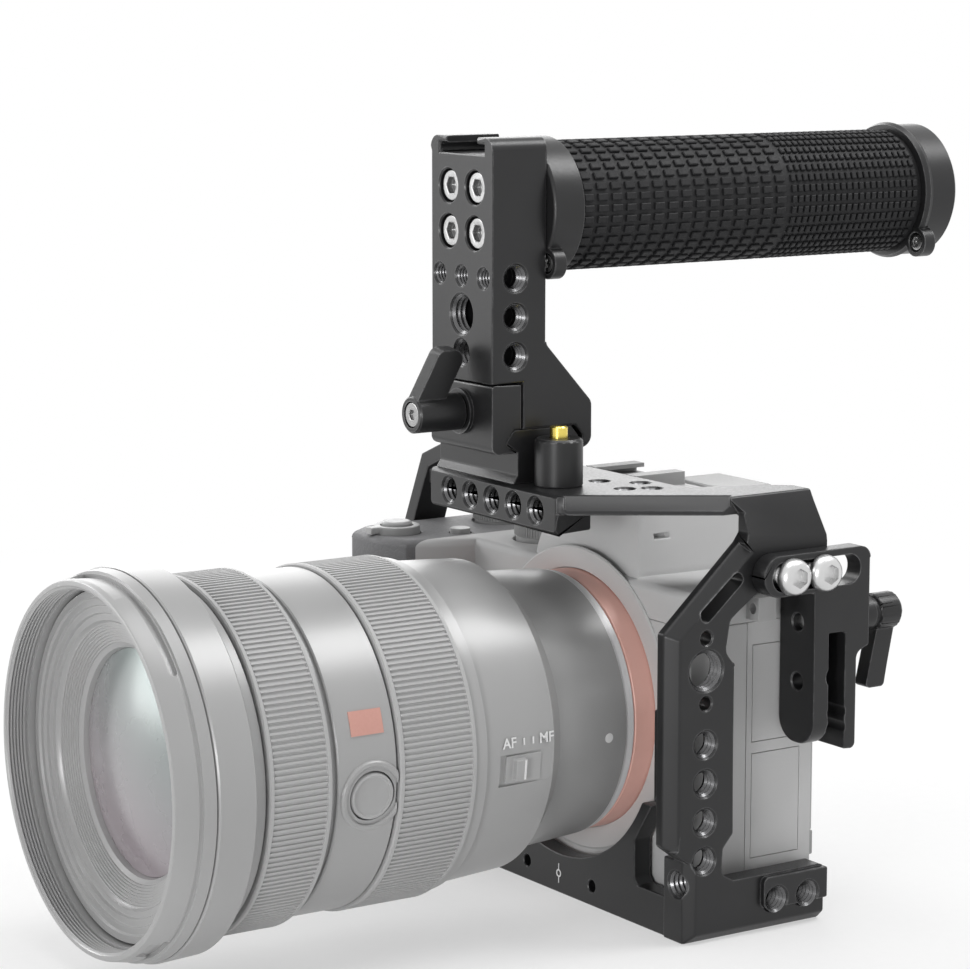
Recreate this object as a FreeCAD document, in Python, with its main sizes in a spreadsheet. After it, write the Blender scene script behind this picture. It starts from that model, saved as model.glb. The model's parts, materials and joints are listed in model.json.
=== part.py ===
import FreeCAD, Part
import math
import os
import re
import Sketcher

# A mirrorless camera with a wide zoom lens, held in a machined cage that carries
# a top handle on a dovetail rail and a cable clamp on its side.
# Frame: X to the right seen from the front, Y from the lens to the screen, Z up.
# The origin is the centre of the tripod socket in the underside of the cage.

doc = FreeCAD.newDocument("CameraRig")
sheet = doc.addObject("Spreadsheet::Sheet", "Dims")
sizes = {}
nodes = []
planeRole = {"XY": "XY_Plane", "XZ": "XZ_Plane", "YZ": "YZ_Plane"}
planeAxes = {"XY": "xyz", "XZ": "xzy", "YZ": "yzx"}


def dims(**values):
    """Writes named values to the sheet, each as a plain number with an alias."""
    for alias, value in values.items():
        row = len(sizes) + 1
        sizes[alias] = value
        sheet.set("A%d" % row, alias)
        sheet.set("B%d" % row, str(value))
        sheet.setAlias("B%d" % row, alias)
    doc.recompute()


def bound(text):
    """Turns the aliases in an expression into references to the sheet."""
    def refer(word):
        name = word.group()
        return "Dims." + name if name in sizes else name
    return re.sub(r"[A-Za-z]\w*", refer, str(text))


def rectangle(u0, u1, v0, v1):
    return [(u0, v0), (u1, v0), (u1, v1), (u0, v1)]


class Piece:
    """One sub-part: a body whose sketches and features are bound to the sheet."""

    def __init__(self, name, place=None):
        self.name = name
        self.body = doc.addObject("PartDesign::Body", name)
        self.body.Label = name
        self.steps = 0
        for axis, text in (place or {}).items():
            self.body.setExpression("Placement.Base." + axis, bound(text))
        nodes.append(self.body)

    def feature(self, kind, word):
        self.steps += 1
        return self.body.newObject(kind, "%s_%s%d" % (self.name, word, self.steps))

    def sketch(self, plane, outlines, start):
        drawing = self.feature("Sketcher::SketchObject", "sketch")
        for plain in self.body.Origin.OriginFeatures:
            if plain.Role == planeRole[plane]:
                drawing.AttachmentSupport = (plain, "")
        drawing.MapMode = "FlatFace"
        sign = "-" if plane == "XZ" else ""
        drawing.setExpression("AttachmentOffset.Base.z", "%s(%s)" % (sign, bound(start)))
        for outline in outlines:
            if isinstance(outline[0], tuple):
                self.polygon(drawing, outline)
            else:
                self.circle(drawing, outline)
        return drawing

    def polygon(self, drawing, corners):
        first = drawing.GeometryCount
        count = len(corners)
        for step in range(count):
            a = 2 * math.pi * step / count
            b = 2 * math.pi * (step + 1) / count
            start = FreeCAD.Vector(math.cos(a), math.sin(a), 0)
            end = FreeCAD.Vector(math.cos(b), math.sin(b), 0)
            drawing.addGeometry(Part.LineSegment(start, end), False)
        rules = []
        for step in range(count):
            follower = first + (step + 1) % count
            rules.append(Sketcher.Constraint("Coincident", first + step, 2, follower, 1))
        for step in range(count):
            spot = drawing.Geometry[first + step].StartPoint
            rules.append(Sketcher.Constraint("DistanceX", -1, 1, first + step, 1, spot.x))
            rules.append(Sketcher.Constraint("DistanceY", -1, 1, first + step, 1, spot.y))
        numbers = drawing.addConstraint(rules)[count:]
        texts = [text for corner in corners for text in corner]
        for number, text in zip(numbers, texts):
            drawing.setExpression("Constraints[%d]" % number, bound(text))

    def circle(self, drawing, spec):
        u, v, radius = spec
        ring = Part.Circle(FreeCAD.Vector(0, 0, 0), FreeCAD.Vector(0, 0, 1), 1.0)
        entity = drawing.addGeometry(ring, False)
        rules = [Sketcher.Constraint("DistanceX", -1, 1, entity, 3, 1.0),
                 Sketcher.Constraint("DistanceY", -1, 1, entity, 3, 1.0),
                 Sketcher.Constraint("Radius", entity, 1.0)]
        for number, text in zip(drawing.addConstraint(rules), (u, v, radius)):
            drawing.setExpression("Constraints[%d]" % number, bound(text))

    def pad(self, plane, outlines, start, length, rounds=None):
        """Adds material from start towards the positive side of the plane."""
        drawing = self.sketch(plane, outlines, start)
        block = self.feature("PartDesign::Pad", "pad")
        block.Profile = drawing
        block.setExpression("Length", bound(length))
        block.Reversed = plane == "XZ"
        doc.recompute()
        for corner, radius in (rounds or {}).items():
            self.roundCorner(drawing, plane, corner, radius)
        return drawing

    def pocket(self, plane, outlines, start, length, back=False):
        """Cuts from start towards the positive side, or the negative side when back."""
        drawing = self.sketch(plane, outlines, start)
        before = self.body.Shape.Volume
        cut = self.feature("PartDesign::Pocket", "pocket")
        cut.Profile = drawing
        cut.Type = 0
        cut.setExpression("Length", bound(length))
        cut.Reversed = (plane != "XZ") != back
        doc.recompute()
        if self.body.Shape.Volume > before - 1e-6:
            raise RuntimeError("a cut in %s removes nothing" % self.name)
        return drawing

    def hole(self, plane, spots, start, depth, radius, mouth=None, back=False):
        """Round holes, with a bevelled mouth on the plane where they start."""
        drawing = self.pocket(plane, [(u, v, radius) for u, v in spots], start, depth, back)
        if mouth:
            level = getattr(drawing.Placement.Base, planeAxes[plane][2])
            rings = [(shape.Center, shape.Radius) for shape in drawing.Geometry]
            self.dress("PartDesign::Chamfer", self.mouths(plane, rings, level), mouth)

    def mouths(self, plane, rings, level):
        u, v, w = planeAxes[plane]

        def pick(edge):
            if not isinstance(edge.Curve, Part.Circle):
                return False
            centre = edge.Curve.Center
            if abs(getattr(centre, w) - level) > 1e-4:
                return False
            for middle, radius in rings:
                near = abs(getattr(centre, u) - middle.x) + abs(getattr(centre, v) - middle.y)
                if near < 1e-4 and abs(edge.Curve.Radius - radius) < 1e-4:
                    return True
            return False
        return pick

    def roundCorner(self, drawing, plane, corner, radius):
        u, v, w = planeAxes[plane]
        spot = drawing.Geometry[corner].StartPoint

        def pick(edge):
            if not isinstance(edge.Curve, Part.Line):
                return False
            if abs(getattr(edge.Curve.Direction, w)) < 0.9999:
                return False
            middle = edge.CenterOfMass
            return abs(getattr(middle, u) - spot.x) + abs(getattr(middle, v) - spot.y) < 1e-3
        self.dress("PartDesign::Fillet", pick, radius)

    def dress(self, kind, pick, size):
        """Puts a fillet or a chamfer on the edges that pick accepts."""
        tip = self.body.Tip
        edges = [edge for edge in tip.Shape.Edges if pick(edge)]
        if not edges:
            raise RuntimeError("%s has no edge for its %s" % (self.name, kind))
        names = ["Edge%d" % (number + 1) for number, edge in enumerate(tip.Shape.Edges)
                 if pick(edge)]
        form = self.feature(kind, kind.split("::")[1].lower())
        form.Base = (tip, names)
        form.setExpression("Radius" if kind.endswith("Fillet") else "Size", bound(size))
        doc.recompute()

    def rim(self, axis, level, size, kind="Chamfer"):
        """Bevels every edge that lies in the outermost or innermost plane of an axis."""
        box = self.body.Tip.Shape.BoundBox
        value = getattr(box, axis.upper() + ("Max" if level == "high" else "Min"))

        def pick(edge):
            low = getattr(edge.BoundBox, axis.upper() + "Min")
            high = getattr(edge.BoundBox, axis.upper() + "Max")
            return abs(low - value) < 1e-3 and abs(high - value) < 1e-3
        self.dress("PartDesign::" + kind, pick, size)

    def turn(self, plane, outline, axis):
        """Turns an outline about the horizontal or vertical axis of its plane."""
        drawing = self.sketch(plane, [outline], 0)
        form = self.feature("PartDesign::Revolution", "turn")
        form.Profile = drawing
        form.ReferenceAxis = (drawing, [axis])
        form.Angle = 360
        doc.recompute()


# ---------------------------------------------------------------- sizes in millimetres
# Places of the lens axis, and the gaps between pieces.
dims(mountY=-8, axisZ=48.1, fitGap=0.3, shaftGap=0.05)
# Threaded sockets.
dims(tapSmall=2.4, tapQuarter=3.18, tapThree=4.76, tapBevel=0.35, tapDepth=8.0, holePitch=9.15)
# Base plate, front wall and its window.
dims(baseThick=7.0, baseFront=5.9, baseRear=33.6, batteryEdge=44.0, doorEdge=79.8, doorRear=18.0,
     wallThick=4.9, archRadius=38.2, wallTop=53.1, wallLeft=36.0, wallLeftTop=30.0, windowLeft=31.0,
     windowLow=9.6, windowMid=20.2, windowApexX=40.1, windowApexZ=33.4, markHole=1.5, markGap=13.7,
     markZ=4.9)
# Side plate: upright, diagonal, lobe and foot.
dims(sideOuter=52.9, sideThick=5.3, barFront=12.3, barRear=6.1, barBevel=2.5, footFront=6.7,
     footTop=19.6, footBevel=2.2, kneeTop=23.8, shoulderZ=73.3, diagonalY=8.9, diagonalZ=92.4,
     lobeRear=33.0, lobeLow=80.6, lobeFront=12.5, notchY=3.6, notchLow=66.0, notchHigh=75.5, ankleY=3.2,
     ankleLow=15.6, ankleHigh=21.8, lipTop=13.9, strapLong=14.6, strapHigh=3.2, strapY=2.2, strapZ=80.8,
     strapTilt=40.5)
# Sockets of the side plate.
dims(sideTapY=2.1, sideTapTop=47.1, sideTapBig=64.3, locateGap=7.6, locateHole=1.6, frontTapX=48.5,
     frontTapZ=13.9, rearTapY=18.3, rearTapZ=9.2)
# Top plate and left arm.
dims(plateTop=102.9, plateThick=4.2, humpRelief=3.0, plateRear=8.2, railReach=25.0, railLeft=28.0,
     railRight=25.8, railDepth=9.0, blockBevel=0.6, railBlockWide=11.0, cornerTopX=48.1, cornerLow=92.6,
     diagonalStartX=27.6, diagonalEndX=48.1, diagonalEndY=6.7, barFacet=3.2, rearStepX=28.0, rearArmX=42.2,
     rearArmY=31.4, leftNeckX=46.0, armOuter=85.2, armThick=4.0, armFront=3.0, armRear=13.0,
     topTapX=12.4, topTapY=3.2)
# Captive screw, clamp screws and pads.
dims(screwY=12.0, screwHead=6.5, screwShank=3.1, clampScrewY=18.5, clampScrewZ=84.8, padDeep=1.0,
     padWide=10.0, padLong=14.0, padSpread=22.0)
# Dovetail rail with its end stop.
dims(railWideEnd=5.6, railNeck=22.0, railNeckRear=7.6, flangeFront=25.0, flangeRear=4.6, flangeLow=110.4,
     flangeMid=112.5, flangeTop=115.6, railScrewX=20.0, railScrewHead=3.6, railScrewShank=1.9,
     stopX=12.1, stopY=14.8, stopRadius=5.7, stopTop=114.1, pinRadius=2.1, pinTop=116.9)
# Handle post and its jaw.
dims(handleX=6.5, handleHalf=13.1, postFront=29.8, postRear=14.6, postTop=183.7, kneeHigh=135.4,
     kneeLow=121.2, footRear=1.6, footLow=110.3, jawTop=126.5, jawRear=21.4, boltX=5.55, boltHigh=172.1,
     boltLow=161.5, boltHead=3.6, boltSeat=3.4, smallZ=151.3, bigZ=142.3, lowZ=133.3, sideBoltY=23.3)
# Clamp lever.
dims(leverZ=119.5, boltRadius=2.5, boltEnd=8.0, hubNear=30.9, hubFar=43.8, hubRadius=4.4, armRise=15.6,
     armHalf=2.0)
# Grip: collars, tube and sleeve.
dims(gripZ=166.75, collarRadius=16.6, collarRear=6.1, tubeRadius=12.0, sleeveRadius=15.5,
     sleeveRear=98.5, capRear=109.6, lugX=13.0, lugZ=12.4, lugRadius=3.7, lugLong=3.4)
# Cable clamp bracket.
dims(bracketThick=4.8, bracketLow=80.1, bracketHigh=89.9, bracketFront=10.7, bracketRear=42.0,
     legInner=44.8, legFront=25.5, slotFront=30.0, slotRear=34.8, prongRear=38.1, legBottom=43.6,
     prongBottom=42.1, slotTop=70.1, heelZ=66.1, clampHeadY=18.5, cableLeverX=51.5, cableLeverZ=72.4)
# Camera.
dims(camLeft=79.0, camRight=44.3, camWall=2.5, camBottom=7.3, camRear=36.0, seamY=16.5, seamZ=72.0,
     shoulderHigh=80.3, humpTop=99.5, humpHalf=21.2, shoeTop=102.7, gripFront=24.0, doorThick=1.8,
     batteryHigh=52.0, throatRadius=22.5, mountRadius=31.45)

# ---------------------------------------------------------------- cage

front = "(mountY - baseFront)"
sideIn = "(sideOuter - sideThick)"


def buildCage():
    cage = Piece("cage_frame")
    # Base plate: full depth under the body, cut back at the left for the battery door.
    cage.pad("XY", [[("-armOuter", "mountY + armFront"), ("-doorEdge", "mountY + armFront"),
                     ("-doorEdge", "mountY + doorRear"), ("-batteryEdge", "mountY + doorRear"),
                     ("-batteryEdge", front), ("sideOuter", front),
                     ("sideOuter", "mountY + baseRear"), ("-armOuter", "mountY + baseRear")]],
             0, "baseThick", {7: "armThick"})
    # Front wall with the arch round the lens mount and a triangular window.
    cage.pad("XZ", [[("-wallLeft", 0), ("sideOuter - 1", 0), ("sideOuter - 1", "wallTop"),
                     ("archRadius", "wallTop"), ("archRadius", "wallLeftTop"),
                     ("-wallLeft", "wallLeftTop")]], front, "wallThick")
    cage.pocket("XZ", [(0, "axisZ", "archRadius")], front, "wallThick")
    cage.pocket("XZ", [[("windowLeft", "windowLow + 1.5"), ("windowLeft", "windowMid"),
                        ("windowApexX", "windowApexZ"), (sideIn, "windowApexZ + 4"),
                        (sideIn, "windowLow"), ("windowLeft + 1.5", "windowLow")]],
                front, "wallThick")
    buildSide(cage)
    buildTop(cage)
    bevelCage(cage)
    cutTaps(cage)
    cutFrom(cage, [barWedge()])


def buildSide(cage):
    """The side plate: an upright bar, a diagonal with a strap slot, a rear lobe and a foot."""
    cage.pad("YZ", [[("mountY - footFront", 0), ("mountY - footFront", "footTop"),
                     ("mountY - barFront", "kneeTop"), ("mountY - barFront", "shoulderZ"),
                     ("mountY + diagonalY", "diagonalZ"), ("mountY + diagonalY + 1.6", "diagonalZ + 2.2"),
                     ("mountY + diagonalY + 1.6", "plateTop - plateThick"),
                     ("mountY + diagonalY - 1.5", "plateTop"), ("mountY + lobeRear - 1.6", "plateTop"),
                     ("mountY + lobeRear", "cornerLow - 1"), ("mountY + lobeRear", "lobeLow"),
                     ("mountY + lobeFront", "lobeLow"), ("mountY + notchY + 1", "notchHigh"),
                     ("mountY + notchY", "notchLow + 2"), ("mountY + barRear", "notchLow - 1"),
                     ("mountY + barRear", "ankleHigh + 3.3"), ("mountY + ankleY", "ankleHigh"),
                     ("mountY + ankleY", "ankleLow"), ("mountY + ankleY + 3.3", "lipTop"),
                     ("mountY + baseRear", "lipTop"), ("mountY + baseRear", "baseThick / 2"),
                     ("mountY + baseRear - 3.5", 0)]],
             sideIn, "sideThick", {11: "3", 12: "2.5", 13: "3", 14: "1.5", 15: "1.5", 16: "2",
                                17: "3", 19: "2"})
    # The foot is thicker where it takes the front socket.
    cage.pad("XZ", [rectangle("sideOuter - 9.5", "sideOuter", 0, "footTop")],
             "mountY - footFront", "footFront - 1")
    # Raised pad with two sockets at the rear of the foot.
    cage.pad("YZ", [rectangle("mountY + 14.5", "mountY + baseRear", "5.8", "lipTop - 0.6")],
             "sideOuter", "1.4", {0: "1.5", 3: "1.5"})
    # The strap slot follows the diagonal.
    tilt = math.radians(sizes["strapTilt"])
    along = (math.cos(tilt), math.sin(tilt))
    corners = []
    for end, side in ((-1, -1), (1, -1), (1, 1), (-1, 1)):
        corners.append(("mountY + strapY + strapLong * %.5f - strapHigh * %.5f"
                        % (end * along[0] / 2, side * along[1] / 2),
                        "strapZ + strapLong * %.5f + strapHigh * %.5f"
                        % (end * along[1] / 2, side * along[0] / 2)))
    slot = cage.pocket("YZ", [corners], sideIn, "sideThick")
    for corner in range(4):
        cage.roundCorner(slot, "YZ", corner, "strapHigh * 0.45")
    # The outer corner of the top slopes inwards.
    cage.pocket("XZ", [[("sideOuter", "cornerLow"), ("sideOuter + 2", "cornerLow"),
                        ("sideOuter + 2", "plateTop + 1"), ("cornerTopX", "plateTop + 1"),
                        ("cornerTopX", "plateTop")]],
                "mountY - barFront", "barFront + lobeRear + 1")
    # Wide bevel down the front of the upright.
    box = [sizes["sideOuter"], sizes["mountY"] - sizes["barFront"]]

    def pick(edge):
        middle = edge.CenterOfMass
        upright = isinstance(edge.Curve, Part.Line) and abs(edge.Curve.Direction.z) > 0.999
        return upright and abs(middle.x - box[0]) < 1e-3 and abs(middle.y - box[1]) < 1e-3
    cage.dress("PartDesign::Chamfer", pick, "barBevel")


def buildTop(cage):
    """The top plate: rail block in front, diagonal bar to the side plate, arm to the left."""
    plateLow = "(plateTop - plateThick)"
    cage.pad("XY", [[("-railLeft", "mountY - railReach"), ("railRight", "mountY - railReach"),
                     ("diagonalStartX", "mountY - railReach + 1.1"),
                     ("diagonalEndX", "mountY + diagonalEndY"),
                     ("cornerTopX", "mountY + lobeRear - 1.6"),
                     ("rearArmX", "mountY + rearArmY"), ("rearArmX - 4.2", "mountY + rearArmY - 5.6"),
                     ("rearStepX + 3.4", "mountY + plateRear + 1.2"),
                     ("rearStepX", "mountY + plateRear"), ("-leftNeckX", "mountY + plateRear"),
                     ("-leftNeckX - 8", "mountY + armRear"), ("-66", "mountY + armRear"),
                     ("-66", "mountY + armFront"), ("-leftNeckX", "mountY - 4"),
                     ("-railLeft - 3", "mountY - railReach + railBlockWide")]],
             plateLow, "plateThick", {6: "5", 12: "3"})
    # The rail block hangs below the plate at the front and carries five sockets.
    cage.pad("XY", [[("-railLeft", "mountY - railReach"), ("railRight", "mountY - railReach"),
                     ("railRight - 1.6", "mountY - railReach + railBlockWide"),
                     ("-railLeft", "mountY - railReach + railBlockWide")]],
             "plateTop - railDepth", "railDepth")
    # Relief below the plate where it passes over the finder.
    cage.pocket("XY", [rectangle("-24", "24", "mountY - 8", "mountY + plateRear + 6")],
                "plateTop - humpRelief - 5", "5")
    # Left arm: down the grip side to the base.
    cage.pad("XZ", [[("-64", "plateTop"), ("-armOuter + 9.2", "plateTop - 4.8"),
                     ("-armOuter + 3.7", "axisZ + 38"), ("-armOuter", "axisZ + 30"),
                     ("-armOuter", "2"), ("-armOuter + 2", 0), ("-armOuter + armThick + 4", 0),
                     ("-armOuter + armThick", "baseThick"), ("-armOuter + armThick", "axisZ + 28.5"),
                     ("-armOuter + armThick + 3.4", "axisZ + 36.5"),
                     ("-armOuter + armThick + 8.4", "plateTop - 8"), ("-64", plateLow)]],
             "mountY + armFront", "armRear - armFront", {3: "3", 8: "3"})


def bevelCage(cage):
    """Bevels round the rail block's face and on the outer corners of the foot."""
    face = "mountY - railReach"
    low = "plateTop - railDepth"
    cage.pocket("YZ", [[(face, low), (face + " + blockBevel", low), (face, low + " + blockBevel")],
                       [(face, "plateTop - blockBevel"), (face + " + blockBevel", "plateTop"),
                        (face, "plateTop")]],
                "-railLeft", "railLeft + railRight")
    cage.pocket("XY", [[("-railLeft", face), ("-railLeft + blockBevel", face),
                        ("-railLeft", face + " + blockBevel")],
                       [("railRight", face), ("railRight", face + " + blockBevel"),
                        ("railRight - blockBevel", face)]],
                low, "railDepth")
    cage.pocket("XZ", [[("sideOuter - footBevel", 0), ("sideOuter", 0), ("sideOuter", "footBevel")]],
                "mountY - footFront", "footFront + baseRear")
    cage.pocket("XY", [[("sideOuter - footBevel", "mountY - footFront"), ("sideOuter", "mountY - footFront"),
                        ("sideOuter", "mountY - footFront + footBevel")]], 0, "footTop")


def barWedge():
    """A block that cuts the wide facet along the upper front edge of the diagonal bar."""
    run = FreeCAD.Vector(sizes["diagonalEndX"] - sizes["diagonalStartX"],
                         sizes["diagonalEndY"] + sizes["railReach"] - 1.1, 0)
    along = FreeCAD.Vector(run).normalize()
    climb = FreeCAD.Vector(-along.y, along.x, 1).normalize()
    block = doc.addObject("Part::Box", "bar_wedge")
    block.Placement = FreeCAD.Placement(FreeCAD.Vector(0, 0, 0),
                                        FreeCAD.Rotation(along, climb, along.cross(climb), "XYZ"))
    block.setExpression("Length", bound("(diagonalEndX - diagonalStartX) / %.6f + 1" % along.x))
    block.setExpression("Width", bound("barFacet * 1.5 + 4"))
    block.setExpression("Height", bound("barFacet * 3"))
    corner = ("diagonalStartX - %.6f" % (2 * climb.x), "mountY - railReach + 1.1 - %.6f" % (2 * climb.y),
              "plateTop - barFacet - %.6f" % (2 * climb.z))
    for axis, text in zip("xyz", corner):
        block.setExpression("Placement.Base." + axis, bound(text))
    return block


def cutTaps(cage):
    """Sockets in the rail block, the side plate, the foot, the top plate and the base."""
    rail = [("-1.1 + holePitch * %d" % step, "plateTop - railDepth / 2 + 0.1")
            for step in range(-2, 3)]
    cage.hole("XZ", rail, "mountY - railReach", "tapDepth", "tapQuarter", "tapBevel")
    quarter = [("mountY - sideTapY", "sideTapTop - holePitch * %d" % step) for step in range(4)]
    cage.hole("YZ", quarter, "sideOuter", "sideThick", "tapQuarter", "tapBevel", back=True)
    cage.hole("YZ", [("mountY - sideTapY", "sideTapBig")], "sideOuter", "sideThick",
              "tapThree", "tapBevel", back=True)
    cage.hole("YZ", [("mountY - sideTapY", "sideTapBig + locateGap"),
                     ("mountY - sideTapY", "sideTapBig - locateGap")],
              "sideOuter", "sideThick", "locateHole", "tapBevel", back=True)
    cage.hole("XZ", [("frontTapX", "frontTapZ")], "mountY - footFront", "tapDepth",
              "tapQuarter", "tapBevel")
    cage.hole("YZ", [("mountY + rearTapY", "rearTapZ - 1.6"),
                     ("mountY + rearTapY + holePitch", "rearTapZ - 1.6")],
              "sideOuter + 1.4", "tapDepth", "tapQuarter", "tapBevel", back=True)
    cage.hole("XZ", [("-markGap", "markZ"), ("markGap", "markZ")], front, "4", "markHole", "0.2")
    cage.hole("XY", [("topTapX", "mountY - topTapY"), ("topTapX + 15.4", "mountY + 0.8"),
                     ("topTapX + 7.4", "mountY + 3.3"), ("topTapX + 12.6", "mountY - 5")],
              "plateTop", "plateThick", "tapSmall", "tapBevel", back=True)
    cage.hole("XY", [(0, 0), ("19.05", 0), ("-19.05", 0)], 0, "baseThick", "tapQuarter", "tapBevel")
    cage.hole("XY", [("-railScrewX", "mountY - stopY"), ("-1", "mountY - stopY")], "plateTop",
              "plateThick", "railScrewShank + shaftGap", back=True)
    # Captive screw seat under the camera's own socket.
    cage.hole("XY", [(0, "screwY")], 0, "4.4", "screwHead + fitGap")
    cage.hole("XY", [(0, "screwY")], "4.4", "baseThick", "screwShank + 0.3")
    # Seats for the cable clamp screws and the rubber pads.
    cage.hole("YZ", [("mountY + clampScrewY", "clampScrewZ"),
                     ("mountY + clampScrewY + holePitch", "clampScrewZ")],
              "sideOuter", "sideThick", "tapQuarter", back=True)
    for side in (-1, 1):
        cage.pocket("XY", [padOutline(side)], "baseThick", "padDeep", back=True)


def padOutline(side):
    return rectangle("%d * padSpread - padWide / 2" % side, "%d * padSpread + padWide / 2" % side,
                     "mountY + baseRear - padLong - 2", "mountY + baseRear - 2")


# ---------------------------------------------------------------- simple solids and screws
def solid(kind, name, direction, at, **values):
    """A primitive standing on a point, its long axis along a direction."""
    shape = doc.addObject("Part::" + kind, name)
    for prop, text in values.items():
        shape.setExpression(prop, bound(text))
    turn = FreeCAD.Rotation(FreeCAD.Vector(0, 0, 1), FreeCAD.Vector(*direction))
    shape.Placement = FreeCAD.Placement(FreeCAD.Vector(0, 0, 0), turn)
    for axis, text in zip("xyz", at):
        shape.setExpression("Placement.Base." + axis, bound(text))
    return shape


def named(shape, name):
    shape.Label = name
    nodes.append(shape)
    doc.recompute()
    return shape


def screws(name, outward, seats, head, headHigh, shank, shankLong, key):
    """Socket screws: the head stands outward from each seat, the shank runs inward."""
    made = []
    inward = tuple(-value for value in outward)
    for number, seat in enumerate(seats):
        part = "%s_%d" % (name, number)
        top = []
        for place, value in zip(seat, outward):
            top.append("(%s) + (%s) * 0.45 * (%.5f)" % (place, headHigh, value))
        cap = solid("Cylinder", part + "_head", outward, seat, Radius=head, Height=headHigh)
        stem = solid("Cylinder", part + "_stem", inward, seat, Radius=shank, Height=shankLong)
        recess = solid("Prism", part + "_key", outward, top, Circumradius=key, Height=headHigh)
        whole = doc.addObject("Part::MultiFuse", part + "_whole")
        whole.Shapes = [cap, stem]
        cut = doc.addObject("Part::Cut", part)
        cut.Base = whole
        cut.Tool = recess
        made.append(cut)
    return named(joinSolids(name, made), name)


def joinSolids(name, made):
    if len(made) == 1:
        return made[0]
    group = doc.addObject("Part::Compound", name)
    group.Links = made
    return group


def cutFrom(piece, tools):
    """Cuts solids out of a finished body; the result takes over the name."""
    name = piece.name
    nodes.remove(piece.body)
    piece.body.Label = name + "_blank"
    base = piece.body
    for number, tool in enumerate(tools):
        cut = doc.addObject("Part::Cut", "%s_cut%d" % (name, number))
        cut.Base = base
        cut.Tool = tool
        base = cut
    return named(base, name)


def ring(name, outline, place=None, axis="H_Axis"):
    """A turned part: outline points are (distance along Y, radius)."""
    piece = Piece(name, place or {"z": "axisZ"})
    piece.turn("YZ", outline, axis)
    return piece


# ---------------------------------------------------------------- rail and handle


def buildRail():
    rail = Piece("nato_rail")
    y = "mountY - "
    rail.pad("YZ", [[(y + "23.2", "plateTop"), (y + "6.4", "plateTop"),
                     (y + "railNeckRear", "plateTop + 2"), (y + "railNeckRear", "flangeLow"),
                     (y + "flangeRear", "flangeMid"), (y + "flangeRear", "flangeMid + 0.7"),
                     (y + "flangeRear - 2", "flangeTop"), (y + "flangeFront + 2", "flangeTop"),
                     (y + "flangeFront", "flangeMid + 0.7"), (y + "flangeFront", "flangeMid"),
                     (y + "railNeck", "flangeLow"), (y + "railNeck", "plateTop + 2")]],
             "-railLeft", "railLeft + railWideEnd")
    spots = [("-railScrewX", "mountY - stopY"), ("-1", "mountY - stopY")]
    rail.hole("XY", spots, "flangeTop", "5", "railScrewHead + 0.4", "0.4", back=True)
    rail.hole("XY", spots, "flangeTop - 5", "flangeTop - 5 - plateTop", "railScrewShank + 0.3", back=True)
    screws("rail_screws", (0, 0, 1), [(u, v, "flangeTop - 5") for u, v in spots],
           "railScrewHead", 3.4, "railScrewShank", "flangeTop - plateTop - 1", 1.9)
    # End stop: a housing beside the rail with a sprung pin.
    housing = Piece("rail_stop_housing", {"x": "stopX", "y": "mountY - stopY"})
    housing.turn("YZ", [("pinRadius + 0.3", "plateTop"), ("stopRadius", "plateTop"),
                        ("stopRadius", "stopTop - 0.6"), ("stopRadius - 0.6", "stopTop"),
                        ("pinRadius + 0.3", "stopTop")], "V_Axis")
    pin = Piece("rail_stop_pin", {"x": "stopX", "y": "mountY - stopY"})
    pin.turn("YZ", [(0, "plateTop + 3.5"), ("pinRadius", "plateTop + 3.5"),
                    ("pinRadius", "pinTop - 0.3"), ("pinRadius - 0.3", "pinTop"),
                    (0, "pinTop")], "V_Axis")


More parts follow.
